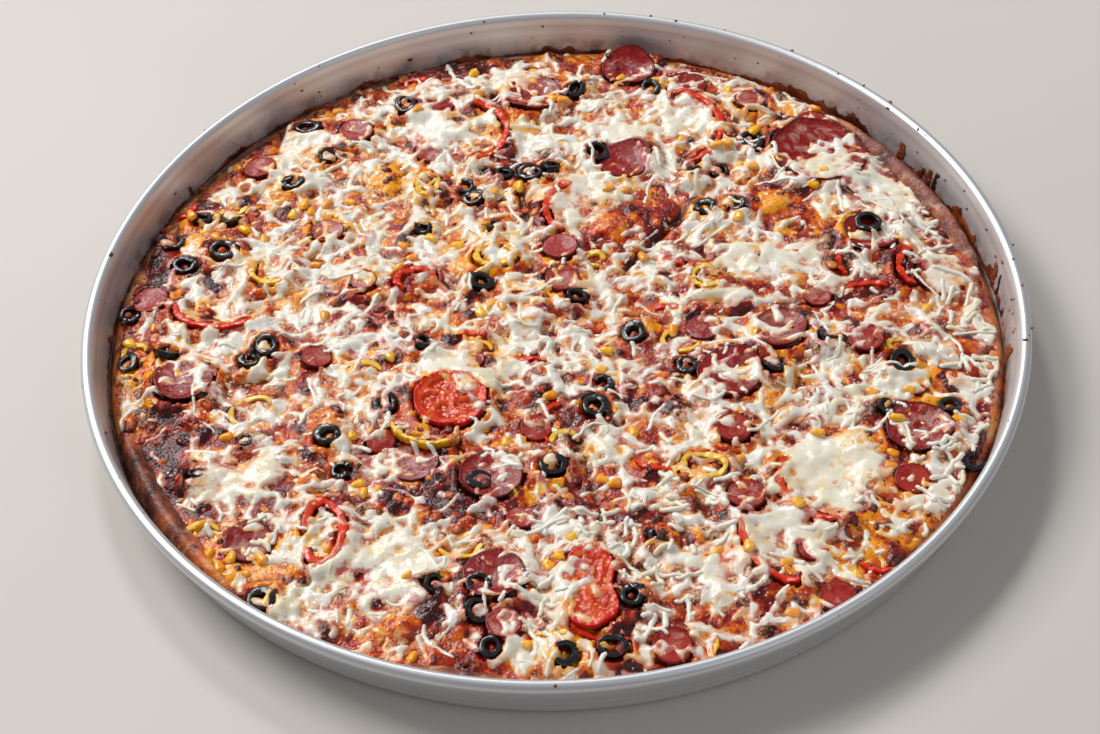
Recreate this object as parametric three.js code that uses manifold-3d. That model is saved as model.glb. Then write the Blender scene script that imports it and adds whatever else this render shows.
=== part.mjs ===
// A large pan pizza in its round aluminium tray, cut into eight wedges that still lie together.
// Millimetres, +Z up. The origin is the centre of the tray's underside and +Y points to the back.

import * as THREE from "three";
import { mergeVertices } from "three/addons/utils/BufferGeometryUtils.js";
import Module from "manifold-3d";

const wasm = await Module();
wasm.setup();

// ---------- Driving dimensions ----------

const GAP = 0.3; // between pieces that touch
const DEGREE = Math.PI / 180;

// Tray: spun sheet with a sloping wall and a rolled bead
const TRAY = {
  rimRadius: 300,
  height: 43,
  sheet: 1.6,
  baseRadius: 286,
  cornerRadius: 4,
  beadRadius: 4,
  sides: 64,
};

// Dough: a flat base whose rim swells into a crust, bare on two stretches
const DOUGH = {
  radius: 283,
  sideBulge: 2.5, // the crust leans out with the wall
  top: 14,
  rimTop: 15.5, // where toppings reach over the rim
  crustTop: 20.5, // where the crust is bare
  rimWidth: 15,
  sides: 60,
  waviness: 1.1,
};
const BARE_CRUST = [
  { from: 196, to: 224 },
  { from: 12, to: 44 },
  { from: 250, to: 262 },
]; // degrees round from +X

// Topping bed: sauce and baked cheese, as one relief
const BED = {
  centreTop: 23.5,
  edgeTop: 17.6,
  edgeFall: 34, // the band in which it falls to its edge
  edgeInset: 2.5,
  cell: 18, // of the relief's grid
  swell: 1.5, // height of the broad swells
  swellSize: 52,
  lumps: 2, // height of the small lumps
  lumpSize: 19,
};

// Cuts: straight grooves from rim to rim, crossing a little in front of the middle
const CUT = {
  centre: [0, -8],
  angles: [8, 52, 98, 143], // degrees
  reach: 274,
  floor: 18.2,
  top: 36,
  topWidth: 7,
};
const GAPING_CUT = { angle: 52, from: 84, to: 166, floor: 16.6, topWidth: 20 };

// Thickness of each kind of topping
const SALAMI = { thickness: 1.8, dish: 1.4, sides: 14 };
const SAUSAGE = { thickness: 3.2, dish: 0.5, sides: 12 };
const TOMATO = { thickness: 4.2, sides: 14 };
const PEPPER = { wall: 3.8, height: 5, sides: 12 };
const OLIVE = { height: 4.6, wall: 4.2, sides: 10 };

// Small pieces that are baked onto the bed
const SHRED = { count: 40, width: 3.6, height: 2.6, shortest: 12, longest: 28, sunk: 0.8 };
const CORN = { count: 22, length: 9, width: 7.4, height: 6.6, sunk: 0.4 };
const SCATTER_RADIUS = 268;

// ---------- Toppings ----------
// Each row gives where the piece lies and how large it is. Angles are degrees round from +X.

// x, y, radius, height to which the edge curls, the side that curls
const SALAMI_SLICES = [
  [60, 255, 19, 7, 80],
  [185, 155, 33, 3.5, 125],
  [53, 155, 18, 6, 40],
  [212, 75, 20, 2, 30],
  [-235, -34, 19, 2, 190],
  [108, -48, 21, 5, 50],
  [143, -12, 17, 2, 0],
  [220, -100, 21, 3, 330],
  [-42, -125, 20, 3, 200],
  [-42, -203, 19, 2, 290],
  [-20, 18, 14, 2, 150],
  [-8, 228, 20, 4, 250],
];

// x, y, radius
const SAUSAGE_SLICES = [
  [-262, 42, 12],
  [-196, 165, 11.5],
  [-131, 197, 12],
  [-148, 97, 11],
  [-123, 48, 9],
  [6, 72, 12],
  [6, 42, 11.5],
  [142, 212, 11],
  [196, -26, 12],
  [107, -95, 11.5],
  [110, -151, 12],
  [157, -227, 11.5],
  [59, -258, 12],
  [-37, -238, 11],
];

// x, y, half width, half depth
const TOMATO_SLICES = [
  [-67, -62, 23, 24],
  [14, -216, 15, 31],
];

// x, y, half width, half depth, where the strip starts and how far it runs; 360 is a whole ring
const RED_PEPPERS = [
  [-55, 190, 28, 30, -75, 150],
  [85, 185, 35, 37, -72, 150],
  [24, 108, 26, 28, 110, 118],
  [165, -138, 34, 34, 150, 130],
  [-215, 30, 30, 19, 165, 160],
  [-143, -165, 14, 27, 0, 360],
  [238, 38, 13, 17, 115, 130],
  [145, -178, 40, 42, 165, 90],
  [-88, 46, 14, 9, 30, 200],
];
const YELLOW_PEPPERS = [
  [-37, 66, 15, 10, 0, 360],
  [-82, 140, 9, 12, 0, 360],
  [-183, 64, 15, 13, 150, 240],
  [86, -127, 15, 11, 0, 360],
  [-76, -72, 29, 27, 195, 105],
  [100, 38, 10, 9, 60, 270],
];

// x, y, radius
const OLIVE_RINGS = [
  [-178, -210, 8.5],
  [-216, 82, 9],
  [140, 169, 8.5],
  [209, 78, 9],
  [-108, -63, 8.5],
  [-5, -120, 8.5],
  [23, -73, 9],
  [-165, 206, 8],
  [-97, 222, 8],
  [-12, 145, 8],
  [-184, -8, 8],
  [-143, -86, 8],
  [38, -223, 8],
  [25, -258, 8.5],
];
const OLIVE_ON_SALAMI = { olive: 4, salami: 4 }; // this olive lies on this slice

// ---------- Chance and noise, the same on every run ----------

function seededRandom(seed) {
  let state = seed;
  return () => {
    state = (state + 0x6d2b79f5) | 0;
    let mixed = Math.imul(state ^ (state >>> 15), 1 | state);
    mixed = (mixed + Math.imul(mixed ^ (mixed >>> 7), 61 | mixed)) ^ mixed;
    return ((mixed ^ (mixed >>> 14)) >>> 0) / 4294967296;
  };
}

// Smooth noise from -1 to 1, with a random value at each corner of a unit grid.
function noise(x, y, seed) {
  const corner = (i, j) => seededRandom((i * 7919 + j * 104729 + seed * 1299709) | 0)() * 2 - 1;
  const i = Math.floor(x);
  const j = Math.floor(y);
  const u = THREE.MathUtils.smoothstep(x - i, 0, 1);
  const v = THREE.MathUtils.smoothstep(y - j, 0, 1);
  const near = THREE.MathUtils.lerp(corner(i, j), corner(i + 1, j), u);
  const far = THREE.MathUtils.lerp(corner(i, j + 1), corner(i + 1, j + 1), u);
  return THREE.MathUtils.lerp(near, far, v);
}

// ---------- Solids ----------

// A geometry with only its position, its equal corners merged and its flat triangles dropped.
function welded(geometry) {
  const bare = geometry.index ? geometry.toNonIndexed() : geometry.clone();
  for (const name of Object.keys(bare.attributes)) {
    if (name !== "position") bare.deleteAttribute(name);
  }
  const merged = mergeVertices(bare, 1e-4);
  const kept = [];
  for (let n = 0; n < merged.index.count; n += 3) {
    const [a, b, c] = [0, 1, 2].map((k) => merged.index.getX(n + k));
    if (a !== b && b !== c && c !== a) kept.push(a, b, c);
  }
  merged.setIndex(kept);
  return merged;
}

function toSolid(geometry) {
  const closed = welded(geometry);
  return new wasm.Manifold(
    new wasm.Mesh({
      numProp: 3,
      vertProperties: new Float32Array(closed.attributes.position.array),
      triVerts: new Uint32Array(closed.index.array),
    }),
  );
}

function toGeometry(solid) {
  const { vertProperties, triVerts } = solid.getMesh();
  const geometry = new THREE.BufferGeometry();
  geometry.setAttribute("position", new THREE.BufferAttribute(vertProperties, 3));
  geometry.setIndex(new THREE.BufferAttribute(triVerts, 1));
  return geometry;
}

function largestPiece(solid) {
  return solid.decompose().reduce((best, one) => (one.volume() > best.volume() ? one : best));
}

// A profile of [radius, height] points, turned about the upright axis.
function turned(profile, sides) {
  const points = profile.map(([radius, height]) => new THREE.Vector2(radius, height));
  return new THREE.LatheGeometry(points, sides).rotateX(Math.PI / 2);
}

// Moves each corner of a geometry by a rule that changes the corner in place.
function reshaped(geometry, rule) {
  const shape = welded(geometry);
  const corner = new THREE.Vector3();
  const positions = shape.attributes.position;
  for (let n = 0; n < positions.count; n += 1) {
    corner.fromBufferAttribute(positions, n);
    rule(corner);
    positions.setXYZ(n, corner.x, corner.y, corner.z);
  }
  return shape;
}

// ---------- Tray ----------

function arcPoints([centreR, centreZ], radius, fromAngle, toAngle, steps) {
  return Array.from({ length: steps + 1 }, (_, n) => {
    const angle = THREE.MathUtils.lerp(fromAngle, toAngle, n / steps) * DEGREE;
    return [centreR + radius * Math.cos(angle), centreZ + radius * Math.sin(angle)];
  });
}

function trayGeometry() {
  const { rimRadius, height, sheet, baseRadius, cornerRadius, beadRadius, sides } = TRAY;
  const bead = [rimRadius - beadRadius, height - beadRadius];
  const corner = [baseRadius - cornerRadius, cornerRadius];
  return turned(
    [
      [0, 0],
      ...arcPoints(corner, cornerRadius, -90, -10, 2),
      ...arcPoints(bead, beadRadius, -135, 180, 7),
      ...arcPoints(corner, cornerRadius - sheet, -10, -90, 2),
      [0, sheet],
    ],
    sides,
  );
}

// ---------- Dough ----------

// From 0, covered, to 1, bare, at an angle round the rim.
function bareness(angle) {
  const turn = THREE.MathUtils.euclideanModulo(angle / DEGREE, 360);
  const fade = 7;
  const inside = BARE_CRUST.map(({ from, to }) => Math.min(turn - from, to - turn) / fade);
  return THREE.MathUtils.clamp(Math.max(...inside) + 0.5, 0, 1);
}

function doughRadius(angle) {
  const turn = angle / DEGREE / 13;
  return DOUGH.radius + DOUGH.waviness * (noise(turn, 0, 3) - 1) * (1 - 0.5 * bareness(angle));
}

function doughGeometry() {
  const floor = TRAY.sheet + GAP;
  const inner = DOUGH.radius - DOUGH.rimWidth;
  const shoulder = DOUGH.radius + DOUGH.sideBulge - 2;
  const profile = [
    [0, floor],
    [DOUGH.radius - 5, floor],
    [DOUGH.radius, floor + 6],
    [DOUGH.radius + DOUGH.sideBulge, DOUGH.top - 1],
    [shoulder - 1.5, DOUGH.rimTop],
    [shoulder - 7, DOUGH.rimTop],
    [inner, DOUGH.top],
    [0, DOUGH.top],
  ];
  return reshaped(turned(profile, DOUGH.sides), (corner) => {
    const angle = Math.atan2(corner.y, corner.x);
    const radius = Math.hypot(corner.x, corner.y);
    if (radius < inner + 1) return;
    const scale = doughRadius(angle) / DOUGH.radius;
    corner.x *= scale;
    corner.y *= scale;
    if (corner.z > DOUGH.top + 0.5) {
      const lift = DOUGH.crustTop - DOUGH.rimTop + noise(angle * 6, 1, 5);
      corner.z += bareness(angle) * lift + 0.5 * noise(angle * 9, 2, 6);
    }
  });
}

// ---------- Topping bed ----------

function bedRadius(angle) {
  const covered = doughRadius(angle) - BED.edgeInset;
  return covered - 9 * bareness(angle) + 1.2 * noise(angle * 8, 4, 7);
}

// The relief that the grid's corners are set to.
function bedRelief(x, y) {
  const fromEdge = bedRadius(Math.atan2(y, x)) - Math.hypot(x, y);
  const rise = THREE.MathUtils.smoothstep(fromEdge, -2, BED.edgeFall);
  const swells = BED.swell * noise(x / BED.swellSize, y / BED.swellSize, 1);
  const lumps = BED.lumps * noise(x / BED.lumpSize, y / BED.lumpSize, 2);
  const level = THREE.MathUtils.lerp(BED.edgeTop, BED.centreTop, rise);
  return level + (swells + lumps) * (0.35 + 0.65 * rise);
}

// The height of the relief's grid at any point, for either way of splitting its cells.
function bedTop(x, y) {
  const { cell } = BED;
  const i = Math.floor(x / cell);
  const j = Math.floor(y / cell);
  const [u, v] = [x / cell - i, y / cell - j];
  const [a, b, c, d] = [[0, 0], [1, 0], [1, 1], [0, 1]].map(([di, dj]) =>
    bedRelief((i + di) * cell, (j + dj) * cell),
  );
  const rising = u > v ? a + u * (b - a) + v * (c - b) : a + u * (c - d) + v * (d - a);
  const falling =
    u + v < 1 ? a + u * (b - a) + v * (d - a) : c + (1 - u) * (d - c) + (1 - v) * (b - c);
  return Math.max(rising, falling);
}

function reliefBlock() {
  const half = Math.ceil(DOUGH.radius / BED.cell);
  const width = 2 * half * BED.cell;
  const floor = DOUGH.top - 6;
  const block = new THREE.BoxGeometry(width, width, 1, 2 * half, 2 * half, 1);
  return reshaped(block, (corner) => {
    corner.z = corner.z > 0 ? bedRelief(corner.x, corner.y) : floor;
  });
}

function bedOutline() {
  const shape = new THREE.Shape();
  for (let side = 0; side < DOUGH.sides; side += 1) {
    const angle = (side * 2 * Math.PI) / DOUGH.sides;
    const radius = bedRadius(angle);
    const [x, y] = [radius * Math.cos(angle), radius * Math.sin(angle)];
    if (side === 0) shape.moveTo(x, y);
    else shape.lineTo(x, y);
  }
  return new THREE.ExtrudeGeometry(shape, { depth: TRAY.height, bevelEnabled: false });
}

// A V-shaped groove along X.
function grooveGeometry(from, to, { floor, topWidth }) {
  const section = new THREE.Shape();
  section.moveTo(0, floor);
  section.lineTo(topWidth / 2, CUT.top);
  section.lineTo(-topWidth / 2, CUT.top);
  const groove = new THREE.ExtrudeGeometry(section, { depth: to - from, bevelEnabled: false });
  return groove.rotateX(Math.PI / 2).rotateZ(Math.PI / 2).translate(from, 0, 0);
}

function grooves() {
  const placed = (geometry, angle) =>
    toSolid(geometry.rotateZ(angle * DEGREE).translate(CUT.centre[0], CUT.centre[1], 0));
  const lines = CUT.angles.map((angle) =>
    placed(grooveGeometry(-CUT.reach, CUT.reach, CUT), angle),
  );
  const { angle, from, to } = GAPING_CUT;
  lines.push(placed(grooveGeometry(from, to, GAPING_CUT), angle));
  return lines.reduce((all, one) => all.add(one));
}

// A short bent strip that lies on the bed, with its underside sunk into it.
function shredGeometry(x, y, length, angle, bend) {
  const { width, height, sunk } = SHRED;
  const stations = [-1, 0, 1].map((along) => {
    const side = bend * (1 - along * along);
    const px = x + (along * length * Math.cos(angle)) / 2 - side * Math.sin(angle);
    const py = y + (along * length * Math.sin(angle)) / 2 + side * Math.cos(angle);
    return new THREE.Vector3(px, py, bedTop(px, py));
  });
  const strip = new THREE.BoxGeometry(1, width, height, 2, 1, 1);
  return reshaped(strip, (corner) => {
    const station = stations[Math.round(corner.x * 2 + 1)];
    const taper = corner.z > 0 ? 0.65 : 1;
    const offset = corner.y * taper;
    corner.z += station.z + height / 2 - sunk;
    corner.x = station.x - offset * Math.sin(angle);
    corner.y = station.y + offset * Math.cos(angle);
  });
}

function cornGeometry(x, y, angle) {
  const kernel = new THREE.IcosahedronGeometry(0.5, 0);
  kernel.scale(CORN.length, CORN.width, CORN.height).rotateZ(angle);
  return kernel.translate(x, y, bedTop(x, y) + CORN.height * (0.5 - CORN.sunk));
}

// Draws places over the bed until count of them are clear of the toppings and each other.
function scatter(count, reachOf, random, taken, covered) {
  const found = [];
  for (let tries = 0; found.length < count && tries < count * 60; tries += 1) {
    const radius = SCATTER_RADIUS * Math.sqrt(random());
    const turn = 2 * Math.PI * random();
    const spot = { x: radius * Math.cos(turn), y: radius * Math.sin(turn), angle: Math.PI * random() };
    spot.reach = reachOf(spot, random);
    const crowded = taken.some(
      (other) => Math.hypot(other.x - spot.x, other.y - spot.y) < other.reach + spot.reach,
    );
    if (crowded || covered(spot)) continue;
    taken.push(spot);
    found.push(spot);
  }
  return found;
}

function smallPieces(footprints) {
  const random = seededRandom(20);
  const taken = [];
  const covered = ({ x, y, reach }) =>
    footprints.some((point) => Math.hypot(point.x - x, point.y - y) < reach + point.reach);
  const corn = scatter(CORN.count, () => CORN.length / 2 + 1, random, taken, covered);
  const shreds = scatter(
    SHRED.count,
    (spot, draw) => {
      spot.length = THREE.MathUtils.lerp(SHRED.shortest, SHRED.longest, draw() ** 1.5);
      spot.bend = (draw() - 0.5) * 0.3 * spot.length;
      return spot.length / 2 + 1.5;
    },
    random,
    taken,
    covered,
  );
  return [
    ...corn.map(({ x, y, angle }) => cornGeometry(x, y, angle)),
    ...shreds.map(({ x, y, length, angle, bend }) => shredGeometry(x, y, length, angle, bend)),
  ];
}

function bedSolid(dough, footprints) {
  const relief = toSolid(reliefBlock());
  const strewn = smallPieces(footprints).map(toSolid);
  const heaped = strewn.reduce((all, one) => all.add(one), relief);
  const trimmed = heaped.intersect(toSolid(bedOutline()));
  const seat = dough.translate([0, 0, GAP]);
  return largestPiece(trimmed.subtract(seat).subtract(grooves()));
}

// ---------- Topping shapes, each flat on its own z = 0 and centred on its own axis ----------

// A round slice. Its edge rises by dish all round, and by curl on the side it curls to.
function sliceGeometry({ radius, depth = radius, thickness, dish = 0, curl = 0, towards = 0, sides }) {
  const rise = (x, y) => {
    const out = Math.hypot(x, y) / radius;
    const along = (x * Math.cos(towards * DEGREE) + y * Math.sin(towards * DEGREE)) / radius;
    return dish * out ** 2 + curl * Math.max(0, along + 0.15) ** 2;
  };
  const underside = curl > 0 ? [[radius * 0.62, 0]] : [];
  const profile = [
    [0, 0],
    ...underside,
    [radius * 0.97, thickness * 0.15],
    [radius, thickness * 0.75],
    [radius * 0.6, thickness],
    [0, thickness],
  ];
  return reshaped(turned(profile, sides), (corner) => {
    corner.z += rise(corner.x, corner.y);
    corner.y *= depth / radius;
  });
}

// A whole ring of pepper or olive, oval and a little uneven.
function ringGeometry({ radius, depth = radius, wall, height, sides, wave = 0 }) {
  const profile = [
    [radius - wall, height * 0.5],
    [radius - wall * 0.55, 0],
    [radius, height * 0.3],
    [radius - wall * 0.35, height],
    [radius - wall, height * 0.5],
  ];
  return reshaped(turned(profile, sides), (corner) => {
    const angle = Math.atan2(corner.y, corner.x);
    const swell = 1 + wave * Math.cos(3 * angle);
    corner.x *= swell;
    corner.y *= (swell * depth) / radius;
  });
}

// A strip of pepper that runs part of the way round an oval.
function stripGeometry({ radius, depth, wall, height, from, run, sides }) {
  const points = Array.from({ length: sides + 1 }, (_, n) => {
    const angle = (from + (run * n) / sides) * DEGREE;
    return new THREE.Vector3(radius * Math.cos(angle), depth * Math.sin(angle), 0);
  });
  const section = new THREE.Shape();
  section.moveTo(-height * 0.5, -wall * 0.3);
  section.lineTo(height * 0.5, -wall * 0.5);
  section.lineTo(height * 0.4, wall * 0.5);
  section.lineTo(-height * 0.5, wall * 0.3);
  const strip = new THREE.ExtrudeGeometry(section, {
    steps: sides,
    extrudePath: new THREE.CatmullRomCurve3(points),
    bevelEnabled: false,
  });
  strip.computeBoundingBox();
  return strip.translate(0, 0, -strip.boundingBox.min.z);
}

// ---------- Seating a topping on the bed ----------

const FOOT_STEP = 3; // between the points at which a topping's underside is tried

// The underside of a geometry, as its lowest point in each millimetre square that one falls in.
function footprintOf(geometry) {
  const { index, attributes } = geometry;
  const seen = new Map();
  const [a, b, c, point] = [0, 1, 2, 3].map(() => new THREE.Vector3());
  for (let n = 0; n < index.count; n += 3) {
    [a, b, c].forEach((corner, k) => corner.fromBufferAttribute(attributes.position, index.getX(n + k)));
    const longest = Math.max(a.distanceTo(b), b.distanceTo(c), c.distanceTo(a));
    const parts = Math.ceil(longest / FOOT_STEP);
    for (let i = 0; i <= parts; i += 1) {
      for (let j = 0; j <= parts - i; j += 1) {
        point.copy(a).multiplyScalar((parts - i - j) / parts);
        point.addScaledVector(b, i / parts).addScaledVector(c, j / parts);
        const key = `${Math.round(point.x)},${Math.round(point.y)}`;
        const lower = seen.get(key);
        if (!lower || point.z < lower.z) seen.set(key, point.clone());
      }
    }
  }
  return [...seen.values()];
}

// The plane z = p + q x + r y that best fits some points, by least squares.
function fittedPlane(points) {
  const normal = new THREE.Matrix3().set(0, 0, 0, 0, 0, 0, 0, 0, 0);
  const right = new THREE.Vector3();
  for (const { x, y, z } of points) {
    const row = [1, x, y];
    row.forEach((one, i) => row.forEach((two, j) => (normal.elements[i * 3 + j] += one * two)));
    right.add(new THREE.Vector3(z, x * z, y * z));
  }
  return right.applyMatrix3(normal.invert()).toArray();
}

// The pose that lays a topping on a surface, clear of it everywhere.
function seatOn(geometry, x, y, surface) {
  const feet = footprintOf(geometry);
  const ground = feet.map((foot) => ({ x: foot.x, y: foot.y, z: surface(x + foot.x, y + foot.y) }));
  const [, slopeX, slopeY] = fittedPlane(ground);
  const up = new THREE.Vector3(-slopeX, -slopeY, 1).normalize();
  const turn = new THREE.Quaternion().setFromUnitVectors(new THREE.Vector3(0, 0, 1), up);
  const lift = feet.map((foot) => {
    const placed = foot.clone().applyQuaternion(turn);
    return surface(x + placed.x, y + placed.y) - placed.z;
  });
  const position = new THREE.Vector3(x, y, Math.max(...lift) + GAP);
  return { position, turn, feet };
}

// ---------- Assembly ----------

const COLOURS = {
  tray: { color: 0xb9babc, roughness: 0.32, metalness: 0.9 },
  dough: { color: 0x9a5f3c, roughness: 0.8, metalness: 0 },
  bed: { color: 0xdcae7c, roughness: 0.5, metalness: 0 },
  salami: { color: 0x93323a, roughness: 0.45, metalness: 0 },
  sausage: { color: 0x8c3038, roughness: 0.4, metalness: 0 },
  tomato: { color: 0xc8301c, roughness: 0.35, metalness: 0 },
  redPepper: { color: 0xc4281c, roughness: 0.35, metalness: 0 },
  yellowPepper: { color: 0xd2a83c, roughness: 0.4, metalness: 0 },
  olive: { color: 0x1d1c20, roughness: 0.3, metalness: 0 },
};

const pizza = new THREE.Group();
const toppings = new THREE.Group();
pizza.add(toppings);

function addMesh(group, name, geometry, look) {
  const mesh = new THREE.Mesh(geometry, new THREE.MeshStandardMaterial(look));
  mesh.name = name;
  group.add(mesh);
  return mesh;
}

const footprints = [];

function addTopping(name, geometry, x, y, look, surface = bedTop) {
  const shape = toGeometry(toSolid(geometry));
  const { position, turn, feet } = seatOn(shape, x, y, surface);
  const mesh = addMesh(toppings, name, shape, look);
  mesh.position.copy(position);
  mesh.quaternion.copy(turn);
  for (const foot of feet) {
    const spot = foot.clone().applyQuaternion(turn).add(position);
    footprints.push({ x: spot.x, y: spot.y, reach: 0.75 * FOOT_STEP });
  }
  return mesh;
}

SALAMI_SLICES.forEach(([x, y, radius, curl, towards], n) => {
  const slice = sliceGeometry({ ...SALAMI, radius, curl, towards });
  addTopping(`salami_${n + 1}`, slice, x, y, COLOURS.salami);
});

SAUSAGE_SLICES.forEach(([x, y, radius], n) => {
  addTopping(`sausage_${n + 1}`, sliceGeometry({ ...SAUSAGE, radius }), x, y, COLOURS.sausage);
});

TOMATO_SLICES.forEach(([x, y, radius, depth], n) => {
  const slice = sliceGeometry({ ...TOMATO, radius, depth });
  addTopping(`tomato_${n + 1}`, slice, x, y, COLOURS.tomato);
});

function addPeppers(kind, rows, look) {
  rows.forEach(([x, y, radius, depth, from, run], n) => {
    const size = { ...PEPPER, radius, depth };
    const whole = run === 360;
    const shape = whole ? ringGeometry({ ...size, wave: 0.06 }) : stripGeometry({ ...size, from, run });
    addTopping(`${kind}_${n + 1}`, shape, x, y, look);
  });
}
addPeppers("red_pepper", RED_PEPPERS, COLOURS.redPepper);
addPeppers("yellow_pepper", YELLOW_PEPPERS, COLOURS.yellowPepper);

// The height of a slice's upper side, for a piece that lies on it.
function upperSideOf(name) {
  const slice = toppings.getObjectByName(name);
  slice.updateMatrixWorld();
  const down = new THREE.Vector3(0, 0, -1);
  return (x, y) => {
    const ray = new THREE.Raycaster(new THREE.Vector3(x, y, TRAY.height), down);
    return ray.intersectObject(slice)[0].point.z;
  };
}

OLIVE_RINGS.forEach(([x, y, radius], n) => {
  const stacked = OLIVE_ON_SALAMI.olive === n + 1;
  const surface = stacked ? upperSideOf(`salami_${OLIVE_ON_SALAMI.salami}`) : bedTop;
  const ring = ringGeometry({ ...OLIVE, radius });
  addTopping(`olive_${n + 1}`, ring, x, y, COLOURS.olive, surface);
});

const dough = toSolid(doughGeometry());
addMesh(pizza, "pan", toGeometry(toSolid(trayGeometry())), COLOURS.tray);
addMesh(pizza, "bread", toGeometry(dough), COLOURS.dough);
addMesh(pizza, "topping_bed", toGeometry(bedSolid(dough, footprints)), COLOURS.bed);

export default pizza;
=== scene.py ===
"""The looks of a large pan pizza in its round aluminium tray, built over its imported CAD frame.

Lengths are in millimetres in the row frame until a mesh is made. The food is worked out on height maps:
the bed of sauce, the toppings that lie on it, the cheese that melted over them, and the shreds on top.
"""

import math

import bpy
import numpy as np
from mathutils import Matrix, Vector
from mathutils.bvhtree import BVHTree


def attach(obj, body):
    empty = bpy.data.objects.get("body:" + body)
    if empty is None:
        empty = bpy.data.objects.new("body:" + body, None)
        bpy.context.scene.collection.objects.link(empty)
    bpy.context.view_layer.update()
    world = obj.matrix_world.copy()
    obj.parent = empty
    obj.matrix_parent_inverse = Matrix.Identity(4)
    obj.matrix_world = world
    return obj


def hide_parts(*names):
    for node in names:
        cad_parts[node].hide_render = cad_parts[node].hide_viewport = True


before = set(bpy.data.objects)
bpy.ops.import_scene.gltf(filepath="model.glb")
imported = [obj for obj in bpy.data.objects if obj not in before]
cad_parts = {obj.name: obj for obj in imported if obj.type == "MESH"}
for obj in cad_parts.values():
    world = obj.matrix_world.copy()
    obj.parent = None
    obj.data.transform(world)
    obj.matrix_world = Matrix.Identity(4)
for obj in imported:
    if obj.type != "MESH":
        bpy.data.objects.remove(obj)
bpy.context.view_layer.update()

MM = 0.001
UP = np.array([0.0, 0.0, 1.0])

# ---------- The camera ----------

CAMERA = {
    "place": (0, -1167.7, 1206.7),
    "yaw": -0.21,
    "pitch": 46.24,
    "roll": -2.7,
    "lens": 85.1,
    "sensor": 36,
    "nearest": 0.05,
    "farthest": 50,
}


def add_camera():
    """The photo's camera, which has no shift and no depth of field."""
    yaw, pitch, roll = (math.radians(CAMERA[key]) for key in ("yaw", "pitch", "roll"))
    forward = Vector(
        (math.sin(yaw) * math.cos(pitch), math.cos(yaw) * math.cos(pitch), -math.sin(pitch))
    )
    level = Vector((math.cos(yaw), -math.sin(yaw), 0))
    upward = level.cross(forward)
    right = math.cos(roll) * level + math.sin(roll) * upward
    above = math.cos(roll) * upward - math.sin(roll) * level
    data = bpy.data.cameras.new("camera")
    data.lens = CAMERA["lens"]
    data.sensor_width = CAMERA["sensor"]
    data.clip_start = CAMERA["nearest"]
    data.clip_end = CAMERA["farthest"]
    camera = bpy.data.objects.new("camera", data)
    turn = Matrix((right, above, -forward)).transposed().to_4x4()
    camera.matrix_world = Matrix.Translation(Vector(CAMERA["place"]) * MM) @ turn
    bpy.context.scene.collection.objects.link(camera)
    bpy.context.scene.camera = camera


add_camera()

# ---------- Noise and maps ----------

rng = np.random.default_rng(11)


def smooth(value, low, high):
    """From 0 to 1 while the value goes from low to high, with soft ends."""
    t = np.clip((value - low) / (high - low), 0, 1)
    return t * t * (3 - 2 * t)


def lattice(i, j, seed):
    """A repeatable random value from -1 to 1 for each whole-number corner."""
    low_bits = 0xFFFFFFFF
    mixed = (i * 374761393 + j * 668265263 + seed * 974634777) & low_bits
    mixed = ((mixed ^ (mixed >> 13)) * 1274126177) & low_bits
    return ((mixed ^ (mixed >> 16)) & 0xFFFF) / 32767.5 - 1


def noise(x, y, size, seed):
    """Smooth noise from -1 to 1 whose features are about size across."""
    x, y = np.asarray(x) / size, np.asarray(y) / size
    i, j = np.floor(x).astype(np.int64), np.floor(y).astype(np.int64)
    u, v = smooth(x - i, 0, 1), smooth(y - j, 0, 1)
    near = lattice(i, j, seed) * (1 - u) + lattice(i + 1, j, seed) * u
    far = lattice(i, j + 1, seed) * (1 - u) + lattice(i + 1, j + 1, seed) * u
    return near * (1 - v) + far * v


def turned(a, b, angle):
    """Two coordinates, seen from axes that are turned by an angle."""
    return a * math.cos(angle) + b * math.sin(angle), b * math.cos(angle) - a * math.sin(angle)


def fractal(x, y, size, seed, octaves=3):
    """Noise with finer octaves, each half as high. Each is turned, so that no grid shows."""
    total, weight = 0.0, 0.0
    for octave in range(octaves):
        share = 0.5**octave
        a, b = turned(x, y, -(0.6 + 1.1 * octave))
        total = total + share * noise(a, b, size * share, seed + 31 * octave)
        weight += share
    return total / weight


def circle(count):
    """Evenly spaced angles, once round."""
    return np.arange(count) * 2 * np.pi / count


def ring_noise(angle, waves, seed):
    """Noise that meets itself again after one turn."""
    return noise(waves * np.cos(angle), waves * np.sin(angle), 1, seed)


# maps hold one value for each millimetre, from -HALF to HALF in both directions
HALF = 292
AXIS = np.arange(-HALF, HALF + 1.0)
X, Y = np.meshgrid(AXIS, AXIS)
RADIUS = np.hypot(X, Y)
ANGLE = np.arctan2(Y, X)


def sample(grid, x, y):
    """The value of a map between its cells, which are 1 mm apart."""
    a = np.clip(np.asarray(x) + HALF, 0, 2 * HALF - 0.001)
    b = np.clip(np.asarray(y) + HALF, 0, 2 * HALF - 0.001)
    i, j = a.astype(int), b.astype(int)
    u, v = a - i, b - j
    near = grid[j, i] * (1 - u) + grid[j, i + 1] * u
    far = grid[j + 1, i] * (1 - u) + grid[j + 1, i + 1] * u
    return near * (1 - v) + far * v


def cells_at(x, y):
    """The row and column of the cells nearest to places."""
    i = np.clip(np.round(x + HALF).astype(int), 0, 2 * HALF)
    j = np.clip(np.round(y + HALF).astype(int), 0, 2 * HALF)
    return j, i


def window(x, y, reach):
    """The part of a map round a place, and how far its cells lie from that place."""
    i, j = int(x + HALF), int(y + HALF)
    part = slice(max(0, j - reach), j + reach + 1), slice(max(0, i - reach), i + reach + 1)
    return part, X[part] - x, Y[part] - y


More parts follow.
